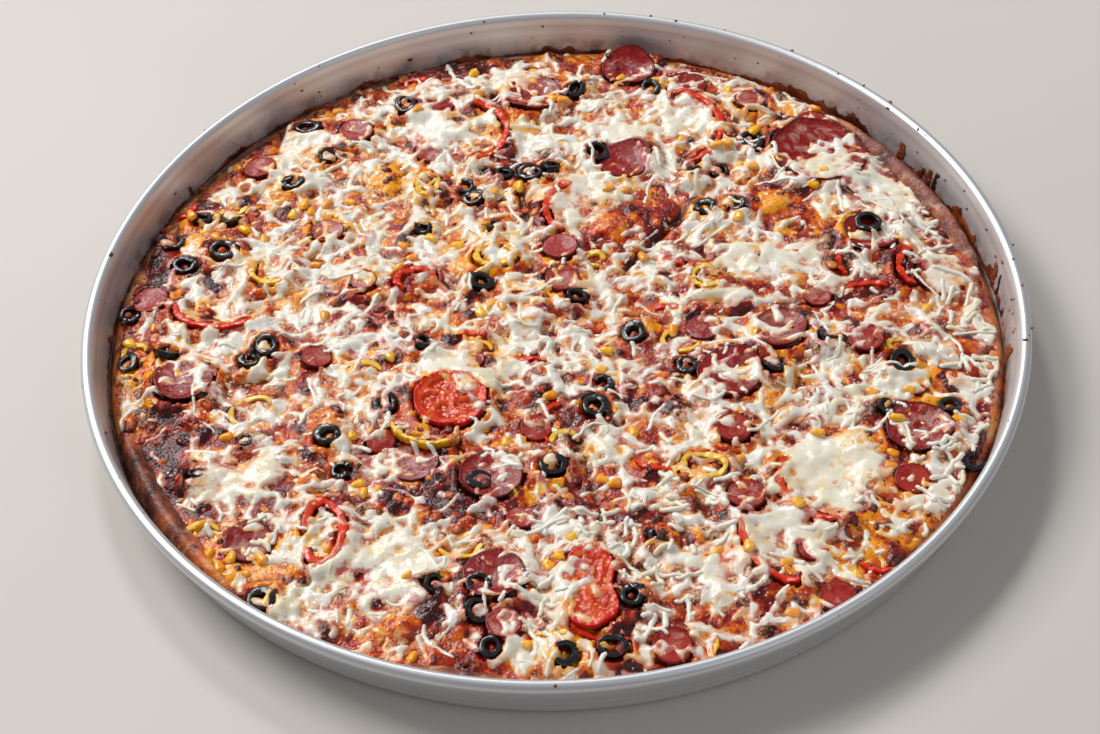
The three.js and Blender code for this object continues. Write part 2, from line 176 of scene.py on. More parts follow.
def blurred(grid, sigma):
    """A map under a Gaussian blur of sigma cells."""
    reach = int(3 * sigma) + 1
    kernel = np.exp(-0.5 * (np.arange(-reach, reach + 1) / sigma) ** 2)
    kernel /= kernel.sum()
    for axis in (0, 1):
        padded = np.pad(grid, [(reach, reach) if axis == a else (0, 0) for a in (0, 1)], "edge")
        grid = sum(
            share * np.take(padded, range(k, k + grid.shape[axis]), axis)
            for k, share in enumerate(kernel)
        )
    return grid


def widened(grid):
    """Each cell takes the highest value among itself and its eight neighbours."""
    padded = np.pad(grid, 1, "edge")
    rows, columns = grid.shape
    shifts = [padded[a : a + rows, b : b + columns] for a in range(3) for b in range(3)]
    return np.max(shifts, axis=0)


# ---------- Meshes ----------


def add_mesh(name, corners, faces, attributes=None):
    """A mesh object from corners in millimetres and a list of face arrays, each of threes or fours."""
    mesh = bpy.data.meshes.new(name)
    faces = [np.asarray(part, np.int32) for part in faces if len(part)]
    loops = np.concatenate([part.ravel() for part in faces])
    totals = np.concatenate([np.full(len(part), part.shape[1], np.int32) for part in faces])
    mesh.vertices.add(len(corners))
    mesh.vertices.foreach_set("co", (np.asarray(corners) * MM).astype(np.float32).ravel())
    mesh.loops.add(len(loops))
    mesh.loops.foreach_set("vertex_index", loops)
    mesh.polygons.add(len(totals))
    starts = np.concatenate([[0], np.cumsum(totals)[:-1]]).astype(np.int32)
    mesh.polygons.foreach_set("loop_start", starts)
    mesh.polygons.foreach_set("loop_total", totals)
    mesh.polygons.foreach_set("use_smooth", np.full(len(totals), True))
    mesh.update(calc_edges=True)
    mesh.validate()
    for key, values in (attributes or {}).items():
        layer = mesh.attributes.new(key, "FLOAT", "POINT")
        layer.data.foreach_set("value", np.asarray(values, np.float32))
    piece = bpy.data.objects.new(name, mesh)
    bpy.context.scene.collection.objects.link(piece)
    return piece


def sampled(maps, corners):
    """The values of several maps at the corners of a mesh."""
    return {key: sample(grid, corners[:, 0], corners[:, 1]) for key, grid in maps.items()}


class Heap:
    """Many small shapes that become one mesh."""

    def __init__(self):
        self.corners = []
        self.faces = {3: [], 4: []}
        self.values = []
        self.count = 0

    def add(self, corners, faces, values):
        for part in faces:
            self.faces[part.shape[1]].append(part + self.count)
        self.corners.append(corners)
        self.values.append(values)
        self.count += len(corners)

    def piece(self, name, keys, maps=None):
        """One mesh. Its attributes are the shapes' own values, named by keys, and those of maps."""
        corners = np.concatenate(self.corners)
        faces = [np.concatenate(part) for part in self.faces.values() if part]
        attributes = dict(zip(keys, np.concatenate(self.values).T))
        return add_mesh(name, corners, faces, {**attributes, **sampled(maps or {}, corners)})


def band_faces(rings, around, closed=False):
    """The fours between neighbouring rings of corners, each ring holding around corners."""
    a = np.arange(rings if closed else rings - 1)[:, None]
    b = np.arange(around)[None, :]
    next_a, next_b = (a + 1) % rings, (b + 1) % around
    quads = [a * around + b, a * around + next_b, next_a * around + next_b, next_a * around + b]
    return np.stack(np.broadcast_arrays(*quads), -1).reshape(-1, 4)


def fan_faces(first, around, tip, outward):
    """The threes that close a ring of corners at a tip."""
    b = np.arange(around)
    ring = [first + b, first + (b + 1) % around]
    if not outward:
        ring.reverse()
    return np.stack([*ring, np.full(around, tip)], -1)


def capped_faces(rings, around, falling=False):
    """Rings closed by two tips, which are the last two corners. Falling rings start at the top."""
    bands = band_faces(rings, around)
    first = fan_faces(0, around, rings * around, falling)
    last = fan_faces((rings - 1) * around, around, rings * around + 1, not falling)
    return [bands[:, ::-1] if falling else bands, np.concatenate([first, last])]


def repeated(faces, count, each):
    """The faces of one shape, for count shapes that have each corners."""
    shift = (np.arange(count) * each)[:, None, None]
    return [(part + shift).reshape(-1, part.shape[1]) for part in faces]


def unit(vectors):
    """Vectors brought to a length of 1."""
    return vectors / (np.linalg.norm(vectors, axis=-1, keepdims=True) + 1e-9)


def swept(route, side_axis, section, closed):
    """A section of (across, up) offsets, one row for each station, swept along a route."""
    tip = 0.25
    stations, around = section.shape[:2]
    if closed:
        along = unit(np.roll(route, -1, 0) - np.roll(route, 1, 0))
    else:
        along = unit(np.gradient(route, axis=0))
    across = unit(np.cross(along, side_axis))
    upward = np.cross(across, along)
    corners = (
        route[:, None]
        + section[:, :, :1] * across[:, None]
        + section[:, :, 1:] * upward[:, None]
    )
    corners = corners.reshape(-1, 3)
    if closed:
        return corners, [band_faces(stations, around, True)]
    tips = [route[0] - along[0] * tip, route[-1] + along[-1] * tip]
    return np.concatenate([corners, tips]), capped_faces(stations, around)


# ---------- What the frame gives ----------


def node_points(name):
    """The corners of a CAD node, in millimetres."""
    return np.array([corner.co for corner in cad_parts[name].data.vertices]) / MM


def node_tree(name):
    """A CAD node, ready for rays, in metres."""
    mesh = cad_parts[name].data
    corners = [corner.co for corner in mesh.vertices]
    return BVHTree.FromPolygons(corners, [face.vertices for face in mesh.polygons])


def heights_of(name, step):
    """The upper side of a CAD node on a coarse map, not a number where the node isn't."""
    tree = node_tree(name)
    above = 80
    ticks = np.arange(-HALF, HALF + step, step)
    found = np.full((len(ticks), len(ticks)), np.nan)
    for row, y in enumerate(ticks):
        for column, x in enumerate(ticks):
            hit = tree.ray_cast(Vector((x, y, above)) * MM, Vector((0, 0, -1)))[0]
            if hit:
                found[row, column] = hit.z / MM
    return ticks, found


def spread_map(ticks, coarse):
    """A coarse map, brought to 1 mm cells."""
    rows = np.array([np.interp(AXIS, ticks, line) for line in coarse])
    return np.array([np.interp(AXIS, ticks, line) for line in rows.T]).T


def edge_radius(name, least_z, bins=60):
    """How far a node reaches at each angle, as a function of the angle."""
    points = node_points(name)
    points = points[points[:, 2] > least_z]
    turn = np.arctan2(points[:, 1], points[:, 0])
    slot = ((turn / (2 * np.pi) * bins).round().astype(int)) % bins
    reach = np.array([np.hypot(*points[slot == k][:, :2].T).max() for k in range(bins)])

    def radius(angle):
        return np.interp(np.mod(angle, 2 * np.pi), circle(bins), reach, period=2 * np.pi)

    return radius


KINDS = ("salami", "sausage", "tomato", "red_pepper", "yellow_pepper", "olive")


def number_of(name):
    """The number at the end of a node's name."""
    return int(name.rsplit("_", 1)[1])


nodes_of = {
    kind: sorted((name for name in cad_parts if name.rsplit("_", 1)[0] == kind), key=number_of)
    for kind in KINDS
}

# ---------- Zones of the food, in millimetres ----------

CUT_CENTRE = (0, -8)
CUT_ANGLES = (8, 52, 98, 143)
GAPING_CUT = {"angle": 52, "from": 84, "to": 166}

# x, y, half width, half depth, strength of the smooth pools of melted cheese
CHEESE_POOLS = (
    (-205, -112, 36, 22, 1.0), (-108, -193, 32, 25, 1.0), (165, -130, 32, 30, 1.0),
    (-50, -30, 26, 20, 0.9), (-80, 202, 24, 18, 0.6), (90, 200, 24, 22, 0.7),
    (58, 185, 22, 16, 0.7), (45, 35, 22, 16, 0.4), (140, 52, 34, 18, 0.7),
    (105, -58, 20, 14, 0.4), (-165, 192, 16, 16, 0.6), (-175, 160, 18, 12, 0.4),
    (254, 38, 18, 13, 0.8), (20, 116, 22, 24, 0.8), (130, -178, 24, 18, 0.7),
    (-35, -120, 16, 12, 0.4), (75, -62, 20, 14, 0.4), (85, -196, 24, 18, 0.6),
    (-150, -60, 18, 12, 0.4), (196, 138, 28, 16, 0.7), (0, 250, 22, 9, 0.4),
    (-220, 45, 20, 12, 0.4), (-15, 22, 14, 14, 0.4), (-130, 60, 18, 12, 0.4),
    (240, 120, 14, 18, 0.5), (-10, -165, 16, 12, 0.4), (45, -235, 18, 10, 0.4),
    (110, 22, 20, 12, 0.5), (-25, 190, 16, 12, 0.4), (30, -100, 16, 12, 0.5),
    (-120, -110, 18, 12, 0.4), (215, -60, 16, 12, 0.4), (-87, 102, 14, 10, 0.4),
    (20, -226, 9, 16, 0.5), (-52, -46, 14, 12, 0.9),
)

# x, y, half width, half depth of places where the sauce shows and little cheese lies
SAUCE_SPOTS = (
    (-245, -95, 26, 40), (-75, -140, 26, 22), (-215, 200, 30, 18), (-75, 255, 34, 14),
    (70, 115, 18, 26), (-95, 150, 22, 16), (-195, 118, 22, 14), (-65, 8, 18, 14),
    (130, 125, 26, 12), (175, 88, 26, 14), (-30, 115, 18, 12), (250, -75, 18, 20),
    (165, -55, 20, 14), (-20, -58, 16, 14), (190, -175, 26, 14), (-205, -165, 22, 16),
    (-85, -262, 20, 10), (-110, 30, 18, 14), (215, 210, 22, 14), (60, -70, 18, 12),
    (-262, 0, 14, 22), (-160, -120, 16, 12), (-258, 130, 14, 20), (20, -150, 16, 12),
    (-235, -185, 22, 14), (30, 80, 12, 12), (265, 85, 12, 26), (55, -160, 14, 10),
)

# x, y, half width, half depth, strength of the charred places
CHAR_SPOTS = (
    (-248, -88, 24, 40, 1.0), (-224, -140, 16, 18, 0.7), (-72, -136, 22, 18, 0.9),
    (74, 108, 14, 26, 0.6), (-262, 60, 12, 26, 0.6), (-190, -140, 14, 12, 0.4),
    (262, 70, 14, 30, 0.5), (-60, 255, 40, 10, 0.5), (-60, -266, 22, 8, 0.6),
    (62, -72, 14, 10, 0.5), (255, -60, 16, 30, 0.4), (20, 262, 24, 8, 0.4),
)

# x, y, half width, half depth, extra density of places strewn with shreds
SHRED_SPOTS = (
    (268, -50, 22, 60, 1.8), (60, -175, 50, 40, 0.9), (30, -215, 50, 30, 0.6),
    (230, 110, 40, 50, 1.2), (0, 180, 70, 40, 0.9), (100, 150, 40, 40, 0.7),
    (-160, 40, 60, 40, 0.7), (150, -60, 60, 40, 0.7), (-100, -40, 60, 40, 0.5),
    (240, -140, 30, 40, 1.0), (-40, 230, 60, 30, 0.7), (-210, 150, 30, 30, 0.5),
    (0, 20, 110, 60, 0.5), (-110, -10, 60, 40, 0.4),
)


# x, y, half width, half depth of places that the cheese leaves almost bare
CLEAR_SPOTS = (
    (163, 165, 16, 16), (188, 182, 24, 10), (58, 266, 24, 14), (48, 158, 18, 14),
    (222, 48, 10, 16), (205, 28, 14, 8), (-74, -66, 20, 16), (-265, 52, 12, 12),
    (-202, 176, 12, 12), (68, 112, 14, 24), (-142, 206, 12, 10), (5, 75, 10, 10),
    (-70, -262, 20, 8), (-255, 100, 12, 20), (25, -232, 14, 10), (-235, -100, 12, 20),
)

# x, y, half width, half depth of places where the shreds are still loose and round
LOOSE_SPOTS = (
    (268, -50, 24, 70), (60, -175, 60, 34), (30, -215, 50, 26), (225, -140, 46, 50),
    (-205, -150, 24, 24), (255, 60, 20, 50),
)

# x, y, half width, half depth, strength of golden, orange places
GOLDEN_SPOTS = (
    (-105, 150, 26, 14, 2.6), (-230, 110, 34, 20, 1.4), (-150, 100, 30, 22, 1.2), (-60, 60, 30, 20, 0.8),
    (-210, -170, 40, 26, 2.4), (-190, 40, 30, 20, 0.8), (175, 95, 40, 18, 1.6), (120, 70, 30, 20, 1.0),
    (190, -190, 40, 26, 2.2), (-45, 100, 26, 14, 1.2), (-258, -20, 18, 26, 1.2), (60, 130, 20, 16, 1.0),
    (235, -70, 22, 26, 1.5), (100, -110, 30, 20, 0.8), (-60, -190, 30, 20, 0.9), (-140, 215, 24, 14, 0.8),
    (20, 190, 24, 16, 0.8), (-20, -262, 40, 12, 1.8), (140, 215, 26, 14, 1.2), (-170, 5, 26, 18, 0.8),
    (-262, -62, 14, 24, 1.0), (-205, -185, 26, 14, 2.6), (-228, -155, 20, 14, 2.2),
    (-254, 118, 16, 34, 1.6), (-212, 180, 30, 16, 1.8), (-158, 225, 30, 14, 1.6), (-100, 258, 34, 12, 1.4),
)

# x, y, radius, height, kind of the large blisters; kind is as in stamp_lumps
BLISTERS = (
    (-110, 152, 14, 4.2, 0.5), (42, 92, 14, 4.2, 0.2), (-40, 2, 11, 3.6, -0.2), (183, -108, 17, 4.6, 0.5),
    (227, -92, 10, 3.4, 0.3), (73, -74, 10, 3.0, -0.9), (-271, -23, 11, 3.6, 0.5), (-227, -63, 12, 3.4, 0.1),
    (-145, -72, 12, 3.6, 0.3), (-183, -109, 11, 3.4, 0.2), (94, 14, 9, 3.0, -0.2), (-211, 42, 9, 3.0, -0.1),
    (130, -70, 10, 3.0, 0.5), (10, 150, 10, 3.0, 0.4), (-20, 205, 10, 3.0, 0.3), (200, 80, 12, 3.6, 0.5),
    (150, 110, 12, 3.8, 0.6), (-60, 60, 9, 3.0, 0.5), (215, 190, 10, 3.0, 0.5), (-95, -235, 11, 3.2, 0.2),
    (258, -30, 10, 3.0, 0.2), (-160, 175, 9, 3.0, 0.4), (-235, 95, 9, 3.0, 0.5), (160, -225, 10, 3.0, 0.3),
    (-218, -178, 11, 3.4, 0.7), (-202, -190, 12, 3.4, 0.8),
)


def spot_map(spots, warp_seed, edge=0.35):
    """From 0 to the spot's strength, inside any of the spots, whose outlines wander."""
    found = np.zeros_like(X)
    wander = 1 + 0.55 * fractal(X, Y, 16, warp_seed, 3)
    for x, y, width, depth, *strength in spots:
        away = np.hypot((X - x) / width, (Y - y) / depth) * wander
        value = (strength[0] if strength else 1) * (1 - smooth(away, 1 - edge, 1 + edge))
        found = np.maximum(found, value)
    return found


BED_OVERHANG = 2.5
bed_reach = edge_radius("topping_bed", 14)
dough_reach = edge_radius("bread", 8)
from_edge = bed_reach(ANGLE) + BED_OVERHANG - RADIUS
# each of these runs from 0 to about 1
bare = blurred(smooth(dough_reach(ANGLE) - bed_reach(ANGLE), 4, 10), 3)
pools = spot_map(CHEESE_POOLS, 71)
sauce = spot_map(SAUCE_SPOTS, 72)
clear = spot_map(CLEAR_SPOTS, 79, 0.45)
loose = spot_map(LOOSE_SPOTS, 77, 0.6)
browned = blurred(spot_map(CHAR_SPOTS, 73, 0.6), 5)
char = np.clip(1.3 * browned, 0, 1) * smooth(fractal(X, Y, 10, 74, 3), -0.1, 0.4)
blistered = spot_map([(x, y, 1.15 * radius, 1.15 * radius) for x, y, radius, *_ in BLISTERS], 78)


def facing(angle, low, high):
    """From 0 to 1, towards one side of the food. Low and high are cosines of the angle off it."""
    return smooth(np.cos(ANGLE - angle), low, high)


def along_cut(degrees):
    """How far each point lies along a cut, and how far beside it."""
    return turned(X - CUT_CENTRE[0], Y - CUT_CENTRE[1], math.radians(degrees))


def cut_map():
    """How far each point is from the nearest cut, in millimetres."""
    nearest = np.full_like(X, np.inf)
    for degrees in CUT_ANGLES:
        away = np.abs(along_cut(degrees)[1] + 1.2 * noise(X, Y, 30, 90))
        nearest = np.minimum(nearest, away)
    return nearest


def gape_map():
    """From 0 to 1, where one cut stands open."""
    along = along_cut(GAPING_CUT["angle"])[0]
    start = smooth(along, GAPING_CUT["from"] - 20, GAPING_CUT["from"] + 10)
    return start * (1 - smooth(along, GAPING_CUT["to"] - 10, GAPING_CUT["to"] + 20))


CUT_END = 274
gape = gape_map()
groove = np.exp(-((cut_map() / (1.1 + 1.6 * gape)) ** 2)) * smooth(CUT_END - RADIUS, 0, 20)
groove *= np.clip(0.75 + 0.5 * noise(X, Y, 22, 91) + gape, 0, 1)

# ---------- The baked bed ----------

LUMPS = {"small": 2000, "large": 190, "reach": 282, "kept": 0.45, "kept_under_blister": 0.1}
LUMP_KINDS = (-1.05, -0.75, -0.4, 0.0, 0.35, 0.75)
LUMP_CHANCES = (0.22, 0.18, 0.13, 0.17, 0.17, 0.13)


def stamp_lump(height, kind, x, y, radius, tall, value, kept):
    """Adds one uneven lump to both maps. Of the height below it, the share kept shows through."""
    part, a, b = window(x, y, int(1.4 * radius) + 2)
    turn, oval = rng.uniform(0, math.pi), rng.uniform(0.65, 1)
    along, across = turned(a, b, turn)
    away = np.hypot(along, across / oval) / radius * (1 + 0.3 * noise(a + 50 * x, b, 4, 52))
    bump = tall * np.sqrt(np.clip(1 - away**2, 0, 1))
    height[part] = np.maximum(height[part], bump + kept * height[part])
    kind[part] += (value - kind[part]) * smooth(1.1 - away, 0, 0.3)


def stamp_lumps():
    """Chopped meat and blisters under the glaze: their height in millimetres, and their kind.

    The kind runs from -1, dark red meat, through 0, sauce, to 1, golden cheese.
    """
    height, kind = np.zeros_like(X), 0.6 * fractal(X, Y, 34, 50, 3) + 0.45 * fractal(X, Y, 9, 51, 2)
    for number in range(LUMPS["large"] + LUMPS["small"]):
        x, y = rng.uniform(-LUMPS["reach"], LUMPS["reach"], 2)
        radius = 2.4 + 5.2 * rng.random() ** 1.4
        tall = rng.uniform(0.3, 0.5) * radius
        if number < LUMPS["large"]:
            radius, tall = rng.uniform(7, 14), rng.uniform(1.8, 3)
        value = rng.choice(LUMP_KINDS, p=LUMP_CHANCES)
        stamp_lump(height, kind, x, y, radius, tall, value, LUMPS["kept"])
    for blister in BLISTERS:
        stamp_lump(height, kind, *blister, LUMPS["kept_under_blister"])
    return height, kind - 0.55 * browned + 0.25 * spot_map(GOLDEN_SPOTS, 76, 0.6)


def bed_heights():
    """The baked sauce and cheese under the toppings: the CAD relief with finer lumps."""
    outside = 17
    ticks, coarse = heights_of("topping_bed", 6)
    known = ~np.isnan(coarse)
    weight = blurred(known.astype(float), 1.7)
    level = blurred(np.where(known, coarse, 0.0), 1.7) / np.maximum(weight, 1e-3)
    level = spread_map(ticks, np.where(weight > 0.01, level, outside))
    lumps = 0.9 * fractal(X, Y, 18, 3, 2) + 0.95 * blurred(lump_height, 0.7)
    crumbs = 0.3 * fractal(X, Y, 4.2, 5, 2)
    return level - 1.7 + lumps + crumbs - groove * (3.2 + 2.4 * gape)


lump_height, lump_kind = stamp_lumps()
ground = bed_heights()

# ---------- Toppings: where they lie ----------

# x, y, radius of the olive rings that lie half sunk in the cheese
MORE_OLIVES = (
    (-241, 72, 7.5), (-252, 98, 7.5), (-46, 42, 7.5), (-195, -18, 7), (-50, -129, 8.5),
    (-51, -210, 7.5), (-52, -228, 7.5), (-3, -262, 8), (50, -8, 8), (29, -52, 6.5),
    (82, -40, 7), (137, -44, 7.5), (242, -83, 7.5), (250, -128, 6.5), (104, 106, 7),
    (98, 140, 6.5), (116, 142, 6.5), (-57, 137, 6.5), (-51, 125, 7.5), (-173, 148, 7),
    (-233, 118, 6.5), (-213, 116, 7), (-85, -10, 6), (-247, -8, 7), (-272, -14, 7),
    (203, -82, 6), (173, -22, 7), (35, 163, 7.5), (125, 107, 6), (-133, -115, 6.5),
    (-85, 98, 6), (-37, 95, 6), (15, 25, 6.5), (-78, -207, 6), (-45, -253, 6.5),
    (55, -178, 6), (-151, 174, 6), (-275, 32, 7), (22, 230, 6.5), (75, 230, 7),
    (-194, -87, 5), (-222, -113, 5), (216, -47, 8.5), (3, 150, 6), (-30, 148, 6),
)
# x, y, radius
MORE_SAUSAGES = (
    (-129, 75, 7), (-152, -18, 10), (-14, -87, 10), (222, -60, 11), (211, -140, 11),
    (146, -192, 9), (-54, -24, 9), (-80, 175, 10), (184, 192, 10), (-25, -158, 9),
    (170, 20, 9), (-110, -92, 9),
)
# x, y, radius
MORE_SALAMI = (
    (252, 32, 17), (-188, -165, 15), (-90, -108, 16), (95, -5, 12),
    (100, 235, 14), (-75, 228, 14),
)
# x, y, half width, half depth, start and run in degrees
MORE_RED = (
    (-15, -18, 18, 9, 200, 110), (4, -86, 14, 20, 100, 120), (62, -112, 17, 13, 190, 160),
    (204, 20, 16, 9, 40, 110), (72, 8, 14, 8, 20, 100), (195, 50, 8, 12, 150, 90),
    (-96, 248, 16, 8, 20, 90), (-248, 140, 10, 16, 250, 90), (186, -196, 14, 10, 200, 90),
    (92, 62, 16, 8, 160, 90), (-60, -8, 16, 8, 20, 80), (28, -232, 28, 20, 195, 90),
)
MORE_YELLOW = (
    (-120, -35, 10, 9, 20, 280), (-190, -62, 14, 12, 10, 240), (-217, -160, 12, 11, 30, 250),
    (-62, -175, 13, 11, 200, 150), (80, -15, 12, 10, 100, 240), (-6, 243, 6, 16, 0, 360),
    (-10, -240, 12, 7, 200, 120), (74, -254, 10, 14, 300, 110), (28, 62, 6, 6, 0, 300),
    (216, -28, 6, 5, 40, 200), (-213, 128, 9, 7, 200, 160), (-48, -15, 7, 6, 0, 300),
    (185, -145, 8, 6, 10, 250), (3, -98, 8, 6, 0, 200), (-268, -5, 8, 9, 20, 200),
    (-52, -92, 10, 26, 200, 80), (232, -12, 6, 8, 300, 150), (-150, 112, 8, 6, 10, 220),
)
# x, y of the corn kernels
CORN = (
    (-145, 228), (-89, 215), (-46, 232), (-134, 130), (-165, 128), (-182, 132), (-240, 118),
    (-204, 105), (-190, 94), (-155, 68), (-79, 88), (-38, 132), (-20, 133), (-40, 22),
    (-33, 17), (-47, 16), (-148, 20), (-272, 3), (-50, 258), (54, 244), (128, 225), (143, 178),
    (115, 162), (123, 166), (130, 148), (138, 146), (40, 127), (52, 127), (185, 133),
    (177, 122), (125, 95), (187, 205), (5, 222), (13, 219), (-105, -20), (-128, -85),
    (-206, -81), (-40, -100), (-33, -96), (-190, -188), (-205, -183), (-93, -200),
    (-120, -133), (-112, -130), (-124, -125), (-10, -195), (-3, -191), (-25, -252), (-5, -278),
    (-90, -255), (32, -22), (28, -40), (45, -92), (90, -190), (108, -192), (130, -200),
    (5, -175), (25, -130), (32, -134), (202, -118), (200, -128), (208, -92), (245, -95),
    (218, -68), (195, -68), (130, -235), (75, -8), (108, -120), (170, -210), (-230, 105),
    (-222, 96), (-160, 120), (-172, 118), (-150, 126), (-98, 82), (-92, 72), (-100, 60),
    (-212, -172), (-198, -176), (-180, -178), (-218, -150), (60, 62), (-258, 18), (-62, 82),
    (92, 175), (-30, -280), (238, 5), (140, -160), (-5, -60), (158, -100),
)


def harmonics(angle):
    """The first waves round a circle, to fit an edge with."""
    waves = [wave(k * angle) for k in (1, 2, 3) for wave in (np.cos, np.sin)]
    return np.column_stack([np.ones_like(angle), *waves])


def disc_of(name):
    """Where a slice lies: its centre, the radius and height of its edge at an angle, its middle's height."""
    neighbour_angle, rim_share, middle_share = 0.35, 0.92, 0.3
    points = node_points(name)
    centre = points.mean(0)
    offset = points - centre
    reach = np.hypot(offset[:, 0], offset[:, 1])
    angles = np.arctan2(offset[:, 1], offset[:, 0])
    close = np.cos(angles[:, None] - angles[None]) > math.cos(neighbour_angle)
    rim = reach > rim_share * np.max(np.where(close, reach, 0), axis=1)
    edge = np.column_stack([reach, offset[:, 2]])[rim]
    waves = np.linalg.lstsq(harmonics(angles[rim]), edge, rcond=None)[0]

    def edge_at(angle):
        wide, high = (harmonics(angle) @ waves).T
        return wide, high

    middle = offset[reach < middle_share * reach.max(), 2]
    return centre, edge_at, middle.mean() if len(middle) else 0.0


def strip_of(name):
    """The middle line of a ring or strip of pepper, from its CAD node, and whether it is closed."""
    corners_each, open_angle = 4, 0.7
    points = node_points(name)
    flat = points[:, :2]
    ones = np.column_stack([2 * flat, np.ones(len(flat))])
    centre = np.linalg.lstsq(ones, (flat**2).sum(1), rcond=None)[0][:2]
    offset = flat - centre
    angles = np.arctan2(offset[:, 1], offset[:, 0])
    order = np.argsort(angles)
    gaps = np.diff(np.concatenate([angles[order], [angles[order[0]] + 2 * np.pi]]))
    widest = int(np.argmax(gaps))
    closed = gaps[widest] < open_angle
    if not closed:
        order = np.roll(order, -(widest + 1))
    count = len(order) // corners_each
    groups = points[order[: count * corners_each]].reshape(count, corners_each, 3)
    return groups.mean(1), closed


def refined(route, count, closed):
    """A route with evenly spaced points on a smooth curve near its own."""
    passes = 10
    if closed:
        route = np.concatenate([route[-2:], route, route[:3]])
    steps = np.concatenate([[0], np.cumsum(np.linalg.norm(np.diff(route, axis=0), axis=1))])
    if closed:
        wanted = np.linspace(steps[2], steps[-3], count, endpoint=False)
    else:
        wanted = np.linspace(0, steps[-1], count)
    fine = np.column_stack([np.interp(wanted, steps, route[:, k]) for k in range(3)])
    for _ in range(passes):
        if closed:
            fine = (np.roll(fine, 1, 0) + 2 * fine + np.roll(fine, -1, 0)) / 4
        else:
            fine[1:-1] = (fine[:-2] + 2 * fine[1:-1] + fine[2:]) / 4
    return fine


# ---------- Toppings: their shapes ----------


def chance_of(seed, stretch):
    """A random number from 0 to 1 that depends on the seed alone."""
    return (math.sin(seed * stretch) * 43758.5) % 1


def slice_layers(thickness, rings):
    """The rings of a slice from its middle, over the edge and back below: share, level and side."""
    bow = 0.36 * thickness
    top_share = 1 - (1 - np.linspace(0.06, 1, rings)) ** 1.25
    over = [(share, 0.5 * thickness, 1) for share in top_share[:-1]]
    edge = [(0.985, 0.5 * thickness - 0.3 * bow, 1), (1.0, 0.12 * thickness, 0.5)]
    under = [(0.985, -0.3 * thickness, 0), (0.9, -0.5 * thickness, 0), (0.4, -0.5 * thickness, 0)]
    return over + edge + under


def slice_shape(edge_at, middle, thickness, around, rings, seed, bumps, dent, chambers=0):
    """A round slice about its own centre. Values: how far out, which side, seed chamber or chance."""
    angle = circle(around)
    wide, high = edge_at(np.mod(angle + np.pi, 2 * np.pi) - np.pi)
    wide = wide * (1 + (0.07 if chambers else 0.045) * ring_noise(angle, 3, seed))
    chance = chance_of(seed, 12.9)
    deep_from = 22
    relief = min(1.0, wide.min() / deep_from) ** 2
    layers = slice_layers(thickness, rings)
    corners, values = [], []
    for share, level, side in layers:
        x, y = share * wide * np.cos(angle), share * wide * np.sin(angle)
        z = middle + (high - middle) * share**2.1 + level
        if side == 1:
            rough = fractal(x + seed * 17, y, 7, seed, 2)
            z = z + bumps * rough * (1 - share**8) - dent * (1 - share**2)
        third = np.full(around, chance)
        if chambers:
            spokes = np.abs(np.sin(chambers / 2 * angle + seed + 0.5 * math.sin(6 * share)))
            ring = smooth(share, 0.22, 0.34) * (1 - smooth(share, 0.72, 0.84))
            third = smooth(spokes, 0.35, 0.7) * ring
            z = z - side * relief * (1.5 * third - 0.5 * smooth(share, 0.8, 0.92))
        corners.append(np.column_stack([x, y, z]))
        values.append(np.column_stack([np.full(around, share), np.full(around, side), third]))
    tips = [[0, 0, middle + 0.5 * thickness - dent], [0, 0, middle - 0.5 * thickness]]
    values = np.concatenate([*values, [[0, 1, chance], [0, 0, chance]]])
    return np.concatenate([*corners, tips]), capped_faces(len(layers), around, True), values


def round_edge(radius, lift, towards):
    """The edge of a plain slice, tilted."""

    def edge_at(angle):
        return np.full_like(angle, radius), lift * np.cos(angle - towards)

    return edge_at


def ring_section(stations, around, wide, tall, flatten, seed):
    """Offsets (across, up) of a rounded section that changes a little along the ring."""
    turn = circle(around)
    power = 1 - flatten
    across = np.sign(np.cos(turn)) * np.abs(np.cos(turn)) ** power * wide / 2
    upward = np.sign(np.sin(turn)) * np.abs(np.sin(turn)) ** power * tall / 2
    section = np.stack([across, upward], -1)[None].repeat(stations, 0)
    change = 1 + 0.1 * ring_noise(circle(stations), 2.2, seed)[:, None, None]
    return section * change, turn


def with_tips(values, corners):
    """The values of a tube's rings, and 0 for the tips that follow them."""
    return np.concatenate([values, np.zeros((len(corners) - len(values), values.shape[1]))])


def pepper_shape(route, closed, wall, height, seed):
    """A ring or strip of pepper. Its value is how far a corner lies towards the skin."""
    stations = len(route)
    section, turn = ring_section(stations, 12, wall, height, 0.5, seed)
    if not closed:
        along = np.linspace(-1, 1, stations)
        section = section * (0.45 + 0.55 * np.clip(1 - np.abs(along) ** 7, 0, 1) ** 0.5)[:, None, None]
    bend = circle(stations)
    uneven = 1 + 0.2 * np.sin(3 * bend + 2 * seed) + 0.12 * np.sin(7 * bend + seed)
    section[..., 0] *= uneven[:, None]
    section[..., 1] += 0.7 * np.clip(np.cos(turn), 0, 1) ** 2
    route = route.copy()
    route[:, 2] += 0.5 * np.sin(3 * bend + seed)
    corners, faces = swept(route, UP, section, closed)
    return corners, faces, with_tips(np.tile(np.cos(turn), stations)[:, None], corners)


